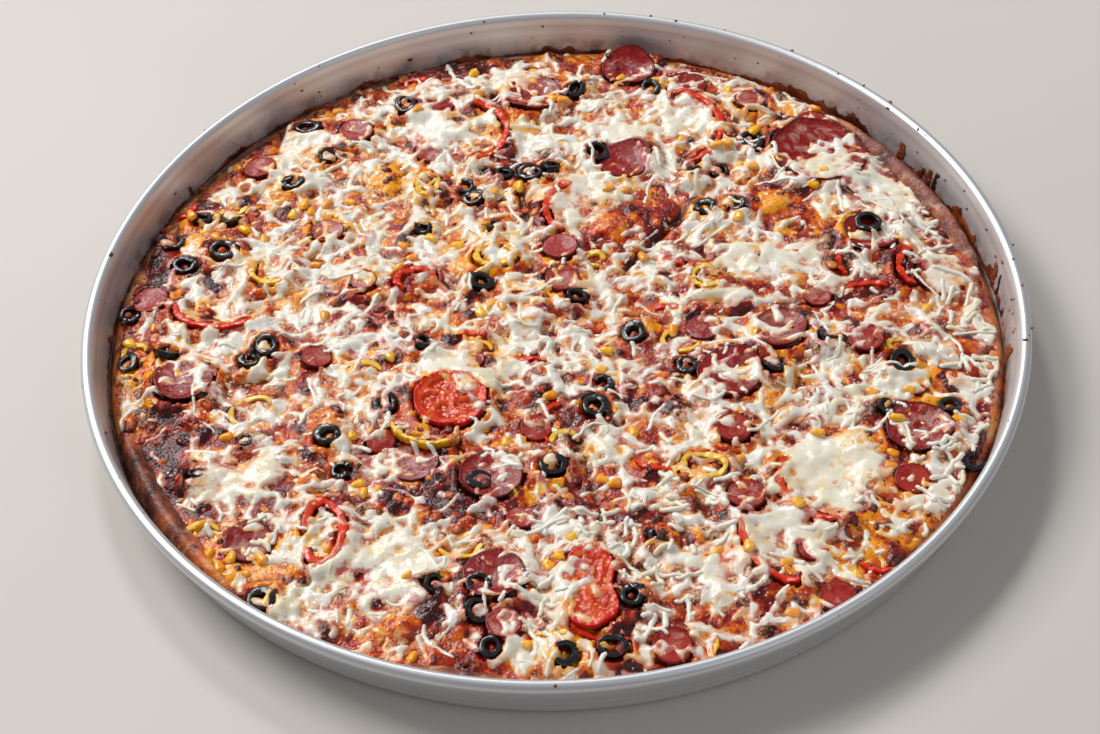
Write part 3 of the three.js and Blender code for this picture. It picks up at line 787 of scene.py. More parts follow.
def olive_shape(radius, height, seed, gap=0.0):
    """A ring cut across an olive. Values: from 0 on the skin to 1 on a cut face, and in the hole or not."""
    stations = 36
    hole = radius * (0.56 + 0.06 * math.sin(seed * 5.1))
    angle = np.linspace(0, 2 * np.pi - gap, stations, endpoint=gap > 0)
    wall = (radius - hole) * (1 + 0.24 * np.sin(angle + seed))
    outside = radius * (1 + 0.05 * np.sin(2 * angle + seed) + 0.025 * np.sin(5 * angle + 2 * seed))
    middle = outside - wall / 2
    oval = 1 + 0.1 * math.sin(seed * 3.3)
    lift = 0.4 * np.sin(2 * angle + seed)
    route = np.column_stack([middle * np.cos(angle) * oval, middle * np.sin(angle) / oval, lift])
    section, turn = ring_section(stations, 14, 1.0, height, 0.76, seed)
    section[..., 0] *= wall[:, None]
    corners, faces = swept(route, UP, section, gap == 0)
    each = np.column_stack([np.abs(np.sin(turn)) ** 0.5, np.cos(turn) < -0.3])
    return corners, faces, with_tips(np.tile(each, (stations, 1)), corners)


def tilted(corners, slope_x, slope_y):
    """Corners turned so that their own +Z follows a slope."""
    normal = np.array([-slope_x, -slope_y, 1.0])
    normal /= np.linalg.norm(normal)
    right = np.cross([0.0, 1.0, 0.0], normal)
    right /= np.linalg.norm(right)
    return corners @ np.stack([right, np.cross(normal, right), normal])


def yawed(yaw):
    """The matrix that turns rows of corners about +Z."""
    return np.array([[math.cos(yaw), math.sin(yaw), 0], [-math.sin(yaw), math.cos(yaw), 0], UP])


def rolled(roll):
    """The matrix that turns rows of corners about +X."""
    return np.array(
        [[1, 0, 0], [0, math.cos(roll), math.sin(roll)], [0, -math.sin(roll), math.cos(roll)]]
    )


def seated(corners, x, y, depth, surface):
    """Corners moved to x, y on a surface, tilted nearly as it is and sunk by depth."""
    reach = np.hypot(corners[:, 0], corners[:, 1]).max() * 0.8
    around = ((1, 0), (-1, 0), (0, 1), (0, -1), (0, 0))
    east, west, north, south, here = (sample(surface, x + a * reach, y + b * reach) for a, b in around)
    slope_x, slope_y = (east - west) / (2 * reach), (north - south) / (2 * reach)
    level = np.mean([east, west, north, south, here])
    place = [x, y, level - corners[:, 2].min() - depth]
    return tilted(corners, 0.8 * slope_x, 0.8 * slope_y) + place


# ---------- Toppings: laid on the bed ----------

heaps = {kind: Heap() for kind in KINDS}
heights = {kind: np.full_like(X, -1.0) for kind in KINDS}


def lay(kind, corners, faces, values):
    """Adds a shape to its heap, and raises the map of its kind to the corners."""
    heaps[kind].add(corners, faces, values)
    np.maximum.at(heights[kind], cells_at(corners[:, 0], corners[:, 1]), corners[:, 2])


SLICES = {
    "salami": {"thickness": 1.9, "around": 64, "rings": 18, "bumps": 0.22},
    "sausage": {"thickness": 3.4, "around": 40, "rings": 12, "bumps": 0.18},
    "tomato": {"thickness": 4.2, "around": 80, "rings": 26, "bumps": 0.5, "chambers": 5},
}
DENTS = {"salami": 0.25, "sausage": 0.25, "tomato": 0.5, "more": 0.3}


def lay_cad_slices(kind):
    """Slices with the place, edge and bend of their CAD nodes."""
    for number, name in enumerate(nodes_of[kind]):
        centre, edge_at, middle = disc_of(name)
        shape = slice_shape(edge_at, middle, **SLICES[kind], seed=number + 3, dent=DENTS[kind])
        corners, faces, values = shape
        lay(kind, corners + centre, faces, values)


def lay_more_slices(kind, rows, depth):
    """Slices sunk into the bed."""
    for number, (x, y, radius) in enumerate(rows):
        edge_at = round_edge(radius, rng.uniform(0.2, 1.6), rng.uniform(0, 2 * math.pi))
        shape = slice_shape(edge_at, 0.0, **SLICES[kind], seed=number + 50, dent=DENTS["more"])
        corners, faces, values = shape
        lay(kind, seated(corners, x, y, depth, ground), faces, values)


PEPPERS = {
    "red_pepper": {"wall": 4.1, "height": 3.5},
    "yellow_pepper": {"wall": 3.9, "height": 3.2},
}
# what stands higher or lies wider than the others of its kind, in millimetres
ODD_PEPPERS = {
    "yellow_pepper_5": {"wall": 3.4, "height": 6.0},
    "red_pepper_6": {"wall": 5.0, "height": 3.9},
}


def lay_cad_peppers(kind):
    """Rings and strips along the middle lines of their CAD nodes."""
    station = 1.5
    for number, name in enumerate(nodes_of[kind]):
        route, closed = strip_of(name)
        length = np.linalg.norm(np.diff(route, axis=0), axis=1).sum()
        route = refined(route, int(np.clip(length / station, 24, 80)), closed)
        size = ODD_PEPPERS.get(name, PEPPERS[kind])
        lay(kind, *pepper_shape(route, closed, size["wall"], size["height"], number + 1))


def lay_more_peppers(kind, rows):
    """Rings and arcs on the bed."""
    size = PEPPERS[kind]
    for number, (x, y, width, depth, start, run) in enumerate(rows):
        angle = np.radians(start + np.linspace(0, run, 30, endpoint=run < 360))
        route = np.column_stack([width * np.cos(angle), depth * np.sin(angle)]) + [x, y]
        level = sample(ground, route[:, 0], route[:, 1])
        level = np.convolve(np.pad(level, 3, "edge"), np.ones(7) / 7, "valid")
        route = np.column_stack([route, level + 0.2])
        scale = rng.uniform(0.75, 1.0)
        wall, height = size["wall"] * scale, size["height"] * scale
        lay(kind, *pepper_shape(route, run == 360, wall, height, number + 40))


OLIVE_HEIGHT = 5.0


def lay_cad_olives():
    """Rings with the place, size and tilt of their CAD nodes."""
    for number, name in enumerate(nodes_of["olive"]):
        points = node_points(name)
        low, high = points.min(0), points.max(0)
        middle = (low + high) / 2
        flat = np.column_stack([points[:, :2] - middle[:2], np.ones(len(points))])
        slope = np.linalg.lstsq(flat, points[:, 2], rcond=None)[0]
        corners, faces, values = olive_shape((high - low)[:2].mean() / 2, OLIVE_HEIGHT, number + 1)
        lay("olive", tilted(corners, slope[0], slope[1]) + middle, faces, values)


def lay_more_olives():
    """Rings sunk into the bed. Every other one is broken."""
    for number, (x, y, radius) in enumerate(MORE_OLIVES):
        gap = rng.uniform(0.6, 2.6) if number % 2 else 0.0
        corners, faces, values = olive_shape(radius, OLIVE_HEIGHT, number + 30, gap)
        corners = tilted(corners, *rng.normal(0, 0.22, 2)) @ yawed(rng.uniform(0, 2 * math.pi))
        lay("olive", seated(corners, x, y, rng.uniform(0.8, 2.4), ground), faces, values)


for kind in ("salami", "sausage", "tomato"):
    lay_cad_slices(kind)
lay_more_slices("salami", MORE_SALAMI, 1.1)
lay_more_slices("sausage", MORE_SAUSAGES, 1.8)
for kind, rows in (("red_pepper", MORE_RED), ("yellow_pepper", MORE_YELLOW)):
    lay_cad_peppers(kind)
    lay_more_peppers(kind, rows)
lay_cad_olives()
lay_more_olives()


def filled(grid):
    """A map of heights with its pinholes closed."""
    return np.maximum(grid, np.where(widened(grid) > 0, widened(grid) - 0.15, grid))


heights = {kind: filled(grid) for kind, grid in heights.items()}
toppings_top = np.max(list(heights.values()), axis=0)
covers = {kind: blurred((grid > 0).astype(float), 0.8) for kind, grid in heights.items()}


def banked(grid, steps, slope):
    """The bed, risen against the sides of the toppings and kept below their tops."""
    on_topping = toppings_top > 0
    collar = np.where(on_topping, toppings_top - 0.9 - 0.7 * noise(X, Y, 14, 33), 0)
    for _ in range(steps):
        collar = np.maximum(collar, widened(collar) - slope)
    collar = blurred(collar, 1.0)
    seat = np.where(on_topping, np.minimum(grid, toppings_top - 1.6), np.maximum(grid, collar))
    return np.where(on_topping, np.minimum(seat, blurred(seat, 1.0) + 0.3), seat)


ground = banked(ground, 7, 0.55)
laid = np.maximum(ground, toppings_top)

# ---------- Melted cheese ----------

# how much of each topping the cheese leaves free, from 0 to 1
FREE_SHARE = {
    "salami": 0.22,
    "sausage": 0.34,
    "tomato": 0.5,
    "red_pepper": 0.6,
    "yellow_pepper": 0.45,
    "olive": 0.8,
}
# where the summed field is thicker than this, there is cheese
THRESHOLD = 0.28
# the density of shreds at which every place drawn is taken
MOST_SHREDS = 3
# how far from the middle places are drawn, and how far a shred may reach
FOOD_REACH = 284
SHRED_REACH = 280
STRANDS = {"count": 2700, "lengths": (2, 22), "widths": (2.1, 3.5)}
DROPS = {"count": 3000, "lengths": (0, 3), "widths": (1.3, 2.6)}
SHORT_SHREDS = {"count": 700, "lengths": (5, 13), "power": 1.0, "stations": 9}
LONG_SHREDS = {"count": 380, "lengths": (12, 32), "power": 1.5, "stations": 18}


def stamp_strands(density, count, lengths, widths):
    """The summed field of many short soft strands. It is above 1 on a strand's middle line."""
    field, placed = np.zeros_like(X), 0
    while placed < count:
        x, y = rng.uniform(-FOOD_REACH, FOOD_REACH, 2)
        if rng.random() * MOST_SHREDS > sample(density, x, y):
            continue
        placed += 1
        length = lengths[0] + (lengths[1] - lengths[0]) * rng.random() ** 2
        turn, radius, bend = rng.uniform(0, math.pi), rng.uniform(*widths), rng.normal(0, 0.018)
        part, a, b = window(x, y, int(length / 2 + radius + 3))
        along, across = turned(a, b, turn)
        across = across - bend * (along**2 - length**2 / 8)
        beyond = np.maximum(np.abs(along) - length / 2, 0)
        swell = radius * (0.82 + 0.34 * np.abs(along) / (length / 2 + 1))
        field[part] += np.clip(1 - (np.hypot(across, beyond) / swell) ** 2, 0, 1) ** 2
    return field


def shred_map():
    """How thickly the shreds were strewn."""
    density = np.clip(0.9 + 0.5 * fractal(X, Y, 46, 20, 3) - 0.5 * sauce, 0.1, 3)
    density += 0.8 * spot_map(SHRED_SPOTS, 75, 0.7)
    density *= (1 - 0.85 * blistered) * (1 - 0.85 * clear)
    strip = 6 + 10 * facing(2.3, 0.5, 0.9)
    return density * smooth(from_edge, strip - 6, strip) * (1 - 0.8 * smooth(browned, 0.2, 0.8))


def strand_map(density):
    """How thickly the shreds lie that haven't melted."""
    shown = sum(covers[kind] for kind in ("olive", "sausage", "tomato", "red_pepper", "yellow_pepper"))
    chosen = density * np.clip(1 - 0.85 * shown, 0.08, 1) * (1 - 0.8 * smooth(char, 0.3, 0.8))
    chosen *= 1 - 0.6 * smooth(pools, 0.25, 0.6)
    return 0.9 * chosen**1.3 * np.clip(0.9 + 0.7 * fractal(X, Y, 36, 60, 2), 0.1, 1.8)


def chosen_places(count, density):
    """Places drawn with a chance that follows a density map."""
    found = []
    while len(found) < count:
        spots = rng.uniform(-FOOD_REACH, FOOD_REACH, (count, 2))
        keep = rng.random(count) * MOST_SHREDS < sample(density, spots[:, 0], spots[:, 1])
        found.extend(spots[keep])
    return np.array(found[:count])


def strand_paths(density, count, lengths, power, stations):
    """Winding paths over the food: x and y along each, its length and its width."""
    start = chosen_places(count, density)
    length = lengths[0] + (lengths[1] - lengths[0]) * rng.random(count) ** power
    widths = rng.uniform(2.7, 4.2, count)
    curl = rng.uniform(0.08, 0.34, count)
    heading = rng.uniform(0, 2 * np.pi, count)
    share = -np.cos(np.linspace(0.16, np.pi - 0.16, stations))
    share /= share[-1]
    step = np.diff(share, prepend=-1) * length[:, None] / 2
    angle = heading[:, None] + np.cumsum(rng.normal(0, 1, (count, stations)) * curl[:, None], 1)
    x = start[:, :1] + np.cumsum(np.cos(angle) * step, 1)
    y = start[:, 1:] + np.cumsum(np.sin(angle) * step, 1)
    x, y = x - (x.mean(1) - start[:, 0])[:, None], y - (y.mean(1) - start[:, 1])[:, None]
    inward = np.minimum(1, SHRED_REACH / np.hypot(x, y))
    return {"x": x * inward, "y": y * inward, "share": share, "lengths": length, "widths": widths}


def around_paths(*groups):
    """From 0 to 1, near the paths of the shreds."""
    found = np.zeros_like(X)
    for paths in groups:
        for between in (0.0, 0.5):
            x = paths["x"][:, :-1] * (1 - between) + paths["x"][:, 1:] * between
            y = paths["y"][:, :-1] * (1 - between) + paths["y"][:, 1:] * between
            found[cells_at(x, y)] = 1
    return np.clip(3.4 * blurred(found, 1.7), 0, 1)


def olive_fill():
    """From 0 to 1, in the holes of the olives that cheese has run into, which are every fifth."""
    found = np.zeros_like(X)
    middles = [node_points(name).mean(0)[:2] for name in nodes_of["olive"]]
    middles += [(x, y) for x, y, _ in MORE_OLIVES]
    for x, y in middles[::5]:
        a, b = X - x - rng.uniform(-3, 3), Y - y - rng.uniform(-3, 3)
        wander = 1 + 0.5 * fractal(X, Y, 5, 28, 2)
        found = np.maximum(found, 1 - smooth(np.hypot(a, b) * wander, 3.0, 5.4))
    return found


def rim_of(kind):
    """From 0 to 1, on the outer few millimetres of the slices of a kind."""
    return covers[kind] * smooth(1 - blurred(covers[kind], 3), 0.14, 0.4)


def free_map(kind, share):
    """From 0 to 1, where the cheese stays off a kind of topping. A slice's rim stays freer."""
    shown = covers[kind] * share * (1.1 + 0.5 * noise(X, Y, 8, 25))
    if kind in SLICES:
        shown *= 1 - 0.7 * pools
        shown += rim_of(kind) * np.clip(0.45 + 1.2 * noise(X, Y, 26, 24), 0, 1.2)
    return np.clip(shown, 0, 1)


def cheese_field():
    """Where the shreds melted together. Its value grows with the thickness of the cheese."""
    clumps = 0.55 + 0.8 * smooth(fractal(X, Y, 15, 22, 3), -0.3, 0.35)
    field = 0.85 * stamp_strands(shred_density * clumps + 0.2 * pools, **STRANDS)
    field += pools * (0.8 - 0.7 * smooth(fractal(X, Y, 10, 23, 3), 0.02, 0.42))
    field += 0.2 * fractal(X, Y, 8, 27, 2) + 0.08 * fractal(X, Y, 4, 29, 1) - 0.05
    field = np.maximum(field, (0.25 + 0.6 * field) * (1 - loose) * near_shreds + 0.26 * near_shreds)
    for kind, share in FREE_SHARE.items():
        field *= 1 - free_map(kind, share)
    field *= 1 - 0.85 * clear
    drops = stamp_strands(0.6 + 0.5 * shred_density, **DROPS) * (1 - 0.5 * clear)
    field += 0.85 * drops * (1 - 0.7 * covers["olive"]) * (1 - 0.3 * covers["red_pepper"])
    field = np.maximum(field, 0.72 * olive_fill())
    field *= 1 - np.clip(groove * (0.35 + gape), 0, 1)
    field = blurred(field, 0.9)
    return field + 0.7 * (blurred(field, 1.3) - field) * smooth(pools, 0.3, 0.7)


def cheese_heights(field):
    """The thickness of the melted cheese, in millimetres. Below 0 there is none."""
    over = np.clip((field - THRESHOLD) / (1 - THRESHOLD), 0, None)
    rise = 1.5 * np.clip(over, 0, 1) ** 0.75 + 0.5 * np.clip(over - 1, 0, 1.6) ** 0.8
    thick = np.where(field > THRESHOLD, rise, -2.2 * (THRESHOLD - field) / THRESHOLD - 0.1)
    return np.where(from_edge < 1.5, -2, thick)


def draped_heights():
    """What the cheese rests on: the food with its steps softened, and level under the pools."""
    draped = blurred(laid, 1.2)
    level_pool = blurred(laid, 4.5) + 0.3
    draped += (level_pool - draped) * smooth(pools, 0.2, 0.8)
    return np.maximum(draped, laid - 0.7 - 1.3 * pools)


shred_density = shred_map()
strand_density = strand_map(shred_density)
short_paths = strand_paths(strand_density, **SHORT_SHREDS)
long_paths = strand_paths(strand_density, **LONG_SHREDS)
near_shreds = around_paths(short_paths, long_paths)
field = cheese_field()
cheese = cheese_heights(field)
melt_top = draped_heights() + cheese
surface = np.maximum(laid, melt_top)
milky = smooth(blurred(np.clip(field, 0, 1.2), 2.2), 0.05, 0.6)
glaze = 0.08 + 0.7 * fractal(X, Y, 11, 26, 3) + 1.1 * milky + 0.4 * blistered
glaze = np.clip(glaze - 0.3 * sauce - browned, 0, 1.2)

# ---------- Sheets cut round ----------


def islands(cells):
    """A number for each cell, the same for all cells that hang together."""
    label = np.arange(cells.size).reshape(cells.shape)
    while True:
        lowest = label
        for axis in (0, 1):
            for shift in (1, -1):
                joined = cells & np.roll(cells, shift, axis)
                lowest = np.where(joined, np.minimum(lowest, np.roll(label, shift, axis)), lowest)
        lowest = lowest.ravel()[lowest]
        if (lowest == label).all():
            return label
        label = lowest


def round_sheet(name, step, top, keep, maps, least=1):
    """A map's surface as a mesh on a grid, where keep is true. Islands of fewer than least cells go."""
    ticks = np.arange(-HALF + 2, HALF - 2, step)
    x, y = np.meshgrid(ticks, ticks)
    inside = keep(x, y)
    z = sample(top, x, y)
    cells = inside[:-1, :-1] & inside[1:, :-1] & inside[:-1, 1:] & inside[1:, 1:]
    label = islands(cells)
    cells &= np.bincount(label[cells], minlength=cells.size)[label] >= least
    used = np.zeros_like(inside)
    for a in (0, 1):
        for b in (0, 1):
            used[a : a + cells.shape[0], b : b + cells.shape[1]] |= cells
    index = np.full(inside.shape, -1)
    index[used] = np.arange(used.sum())
    corners = np.column_stack([x[used], y[used], z[used]])
    quads = np.stack([index[:-1, :-1], index[:-1, 1:], index[1:, 1:], index[1:, :-1]], -1)[cells]
    return add_mesh(name, corners, [quads], sampled(maps, corners))


def polar_sheet(name, around, radii, top, floor, maps):
    """A round heightfield with a side wall and a flat underside, closed."""
    angle = circle(around)
    reach = radii(angle)
    corners = []
    for share in np.concatenate([np.linspace(0.05, 0.85, 6), np.linspace(0.88, 1, 18)]):
        x, y = share * reach * np.cos(angle), share * reach * np.sin(angle)
        corners.append(np.column_stack([x, y, sample(top, x, y)]))
    corners.append(np.column_stack([x * 0.985, y * 0.985, np.full(around, floor)]))
    faces = capped_faces(len(corners), around, True)
    corners = np.concatenate([*corners, [[0, 0, sample(top, 0, 0)], [0, 0, floor]]])
    return add_mesh(name, corners, faces, sampled(maps, corners))


BED_STEP = 1.85
MELT_STEP = 1.32


def build_bed():
    """The sheet of baked sauce and cheese, with its edge bent down to the crust."""
    edge_drop = 5.0 * (1 - smooth(from_edge, 0, 3.5)) ** 2
    maps = {
        "char": char,
        "glaze": glaze,
        "groove": groove,
        "kind": lump_kind,
        "blister": blistered,
        # how far the bed lies below its surroundings; the finish darkens these hollows, partly as painted
        # shade, partly for the darker sauce pooled in them
        "relief": ground - blurred(ground, 4),
    }

    def on_bed(x, y):
        return np.hypot(x, y) < bed_reach(np.arctan2(y, x)) + 2.6

    return round_sheet("baked_bed", BED_STEP, ground - edge_drop, on_bed, maps)


def build_melt():
    """The sheet of melted cheese, open where there is none."""
    near_cheese = widened(cheese)
    golden = 0.8 * fractal(X, Y, 20, 30, 3) + 0.04 * (melt_top - blurred(melt_top, 9))
    maps = {"thick": field, "golden": golden, "kind": lump_kind, "pool": pools}

    def has_cheese(x, y):
        return sample(near_cheese, x, y) > 0.0

    return round_sheet("melted_cheese", MELT_STEP, melt_top, has_cheese, maps, least=6)


bed = build_bed()
melt = build_melt()

# ---------- Cheese shreds ----------


def strand_shapes(paths, around, base, lift, tall):
    """Many tubes at once, draped on a map. Returns corners, faces and a random value for each."""
    x, y, share = paths["x"], paths["y"], paths["share"]
    lengths, widths = paths["lengths"], paths["widths"]
    count, stations = x.shape
    z = sample(base, x, y)
    edge = np.pad(z, ((0, 0), (1, 1)), "edge")
    z = 0.5 * np.maximum(z, (edge[:, :-2] + edge[:, 2:]) / 2) + 0.5 * z
    edge = np.pad(z, ((0, 0), (1, 1)), "edge")
    z = (edge[:, :-2] + 2 * z + edge[:, 2:]) / 4 + (lift * widths)[:, None]
    route = np.stack([x, y, z], -1)
    along = unit(np.gradient(route, axis=1))
    across = unit(np.cross(along, UP))
    upward = np.cross(across, along)
    radius = widths[:, None] / 2
    to_end = (1 - np.abs(share)) * lengths[:, None] / 2
    cap = np.sqrt(np.clip(1 - (1 - (to_end + 0.25) / radius).clip(0, 1) ** 2, 0.05, 1))
    thin = 1 - rng.uniform(0, 0.3, (count, 1)) * np.cos(share * 1.5 + rng.normal(0, 0.5, (count, 1)))
    half = radius * cap * thin * np.clip(1 + 0.07 * rng.normal(0, 1, (count, stations)), 0.85, 1.2)
    turn = circle(around)
    rise = tall[:, None] * half
    ring = (
        route[:, :, None]
        + (half[..., None] * np.cos(turn))[..., None] * across[:, :, None]
        + (rise[..., None] * np.sin(turn))[..., None] * upward[:, :, None]
    )
    first = route[:, 0] - along[:, 0] * half[:, :1] * 0.6
    last = route[:, -1] + along[:, -1] * half[:, -1:] * 0.6
    corners = np.concatenate([ring.reshape(count, -1, 3), np.stack([first, last], 1)], 1)
    each = corners.shape[1]
    faces = repeated(capped_faces(stations, around), count, each)
    return corners.reshape(-1, 3), faces, np.repeat(rng.random(count), each)


def build_shreds(name, paths):
    """Melted ones lie low and flat, loose ones stand round on the cheese."""
    count, stations = paths["x"].shape
    free = sample(loose, paths["x"][:, stations // 2], paths["y"][:, stations // 2])
    lift = rng.uniform(-0.44, -0.14, count) + 0.36 * free
    corners, faces, chance = strand_shapes(paths, 7, surface, lift, 0.66 + 0.2 * free)
    return add_mesh(name, corners, faces, {"chance": chance})


short_shreds = build_shreds("short_shreds", short_paths)
long_shreds = build_shreds("long_shreds", long_paths)

# ---------- Corn ----------


def kernel_shape():
    """A corn kernel: a rounded wedge, dented on top."""
    stations, around = 9, 12
    along = np.linspace(-1, 1, stations)
    blunt = np.where(along > 0, np.abs(along) ** 5, np.abs(along) ** 2.4)
    swell = np.sqrt(np.clip(1 - blunt, 0, 1))
    wide = 4.0 * swell * (0.8 + 0.24 * along) + 0.05
    tall = 2.6 * swell + 0.05
    x = np.repeat(4.8 * along, around)
    y = np.outer(wide, np.cos(circle(around))).ravel()
    z = np.outer(tall, np.sin(circle(around))).ravel()
    dent = 0.5 * np.exp(-((x - 1.5) ** 2 + y**2) / 4) * (z > 0)
    corners = np.concatenate([np.column_stack([x, y, z - dent]), [[-4.9, 0, 0], [4.9, 0, 0]]])
    return corners, [part[:, ::-1] for part in capped_faces(stations, around)]


def build_corn():
    """The kernels, each turned, leaned and sunk a little into what lies under it."""
    heap = Heap()
    kernel, faces = kernel_shape()
    for x, y in CORN:
        values = np.column_stack([kernel[:, 0] / 5, np.full(len(kernel), rng.random())])
        yaw, roll = rng.uniform(0, 2 * math.pi), rng.normal(0, 0.4)
        corners = kernel * rng.uniform(0.9, 1.1) @ rolled(roll) @ yawed(yaw)
        level = sample(surface, x, y) + rng.uniform(-1.4, 0.5)
        heap.add(corners + [x, y, level], faces, values)
    return heap.piece("corn", ("along", "chance"), {"glaze": glaze})


corn = build_corn()

# ---------- Baked bits ----------


def unit_ball(stations, around):
    """Corners on a ball of radius 1, from its top down, with its two tips last."""
    polar = np.linspace(0, np.pi, stations + 2)[1:-1]
    turn = circle(around)
    east = np.outer(np.sin(polar), np.cos(turn))
    north = np.outer(np.sin(polar), np.sin(turn))
    high = np.outer(np.cos(polar), np.ones(around))
    return np.concatenate([np.stack([east, north, high], -1).reshape(-1, 3), [UP, -UP]])


def blob_shapes(places, sizes, base, sink):
    """Small uneven lumps, made from one ball whose corners move by chance."""
    stations, around = 6, 9
    ball = unit_ball(stations, around)
    count, each = len(places), len(ball)
    uneven = 1 + 0.24 * rng.normal(0, 1, (count, each))
    wide, deep, tall = (rng.uniform(*span, count) for span in ((0.8, 1.6), (0.6, 1.3), (0.4, 0.75)))
    stretch = np.stack([wide, deep, tall], -1) * sizes[:, None]
    corners = ball * np.clip(uneven, 0.5, 1.6)[..., None] * stretch[:, None]
    yaw = rng.uniform(0, 2 * np.pi, count)[:, None]
    x = corners[..., 0] * np.cos(yaw) - corners[..., 1] * np.sin(yaw) + places[:, :1]
    y = corners[..., 0] * np.sin(yaw) + corners[..., 1] * np.cos(yaw) + places[:, 1:]
    level = sample(base, places[:, 0], places[:, 1]) - sink * sizes
    corners = np.stack([x, y, corners[..., 2] + level[:, None]], -1)
    faces = repeated(capped_faces(stations, around, True), count, each)
    return corners.reshape(-1, 3), faces, np.repeat(rng.random(count), each)


def build_bits():
    """Minced meat and crumbs, thickest in bare sauce and along the back and left edge."""
    density = np.clip(0.7 + 1.4 * sauce + 0.4 * char - 0.9 * smooth(cheese, 0, 0.8), 0.03, 3)
    density += (1.2 + 1.6 * facing(2.6, 0.6, 0.95)) * (1 - smooth(from_edge, 4, 14))
    density *= smooth(from_edge, 0, 4) * np.clip(1 - toppings_top.clip(0, 1), 0.12, 1)
    places = chosen_places(640, density)
    sizes = rng.uniform(1.4, 3.6, len(places))
    corners, faces, chance = blob_shapes(places, sizes, laid, 0.3)
    return add_mesh("baked_bits", corners, faces, {"chance": chance, **sampled({"glaze": glaze}, corners)})


bits = build_bits()

# ---------- Dough ----------


def crust_reach(angle):
    """How far the baked crust reaches at an angle."""
    return dough_reach(angle) + 1.0 + 0.9 * ring_noise(angle, 8, 42)


def build_dough():
    """The baked crust round the edge and the dough below, over the CAD dough."""
    beyond, floor = 15, 2.0
    ticks, coarse = heights_of("bread", 4)
    level = spread_map(ticks, np.where(np.isnan(coarse), beyond, coarse))
    bulge = 1.5 * fractal(X, Y, 14, 40, 3) + 0.8 * np.abs(fractal(X, Y, 6, 41, 2))
    from_rim = crust_reach(ANGLE) - RADIUS
    across = (RADIUS - bed_reach(ANGLE)) / np.maximum(dough_reach(ANGLE) - bed_reach(ANGLE), 4)
    roll = np.sqrt(np.clip(1 - (2 * across - 0.9) ** 2, 0, 1)) * bare
    crown = level + bulge * smooth(RADIUS, 250, 270) * (1 - 0.6 * bare) + 1.0 + 2.4 * roll
    crown = np.where(from_rim < 12, np.maximum(crown, 16.2 + bulge), crown)
    crown -= 6.5 * (1 - smooth(from_rim, -1, 6)) ** 2
    # sauce ran over the last of the bare crust at left-front
    sauced_end = facing(math.radians(226), math.cos(math.radians(13)), 1)
    maps = {"char": char * (1 - 0.55 * bare), "bare": bare * (1 - sauced_end)}
    return polar_sheet("crust", 540, crust_reach, crown, floor, maps)


dough = build_dough()

# ---------- Tray ----------

TRAY = {"rim": 300, "height": 43, "sheet": 1.6, "base": 286, "corner": 4, "bead": 4}
WALL = {"foot": 284.36, "foot_height": 3.58, "lean": 0.2157}


def arc(centre, radius, start, stop, steps):
    """Points of an arc, from start to stop in degrees."""
    angle = np.radians(np.linspace(start, stop, steps))
    return np.column_stack([centre[0] + radius * np.cos(angle), centre[1] + radius * np.sin(angle)])


def spun(profile, sides):
    """A profile of (radius, height) rows, turned about +Z: the corners of its rings."""
    angle = circle(sides)
    east, north = np.outer(profile[:, 0], np.cos(angle)), np.outer(profile[:, 0], np.sin(angle))
    return np.stack([east, north, np.outer(profile[:, 1], np.ones(sides))], -1)


def build_tray():
    """The tray as one closed sheet: below, over the rolled bead, and back down inside."""
    sides, middle, slope = 288, 15, -12
    bead = (TRAY["rim"] - TRAY["bead"], TRAY["height"] - TRAY["bead"])
    corner = (TRAY["base"] - TRAY["corner"], TRAY["corner"])
    outside = arc(corner, TRAY["corner"], -90, slope, 8)
    lip = arc(bead, TRAY["bead"], -135, 180 + slope, 26)
    inside = arc(corner, TRAY["corner"] - TRAY["sheet"], slope, -90, 8)
    wall_out = np.linspace(outside[-1], lip[0], 8)[1:-1]
    wall_in = np.linspace(lip[-1], inside[0], 12)[1:-1]
    floor_out = np.linspace((middle, 0), (corner[0], 0), 8)[:-1]
    floor_in = np.linspace((corner[0], TRAY["sheet"]), (middle, TRAY["sheet"]), 8)[1:]
    seen_below = np.concatenate([floor_out, outside, wall_out, lip[:-1]])
    seen_above = np.concatenate([lip[-1:], wall_in, inside, floor_in])
    corners = spun(np.concatenate([seen_below, seen_above]), sides)
    turn = np.arctan2(corners[..., 1], corners[..., 0])
    dent = 0.35 * np.sin(2 * turn + 0.7) + 0.2 * np.sin(5 * turn + 2)
    corners[..., 2] -= 0.3 * np.abs(dent) * smooth(corners[..., 2], 20, 40)
    inner = np.repeat([0.0, 1.0], [len(seen_below) * sides, len(seen_above) * sides])
    faces = capped_faces(len(corners), sides)
    corners = np.concatenate([corners.reshape(-1, 3), [[0, 0, 0], [0, 0, TRAY["sheet"]]]])
    return add_mesh("tray", corners, faces, {"inner": np.concatenate([inner, [0, 1]])})


tray = build_tray()

# ---------- Burnt sauce on the tray ----------


def wall_radius(z):
    """The inside of the tray's wall at a height."""
    return WALL["foot"] + (z - WALL["foot_height"]) * WALL["lean"]


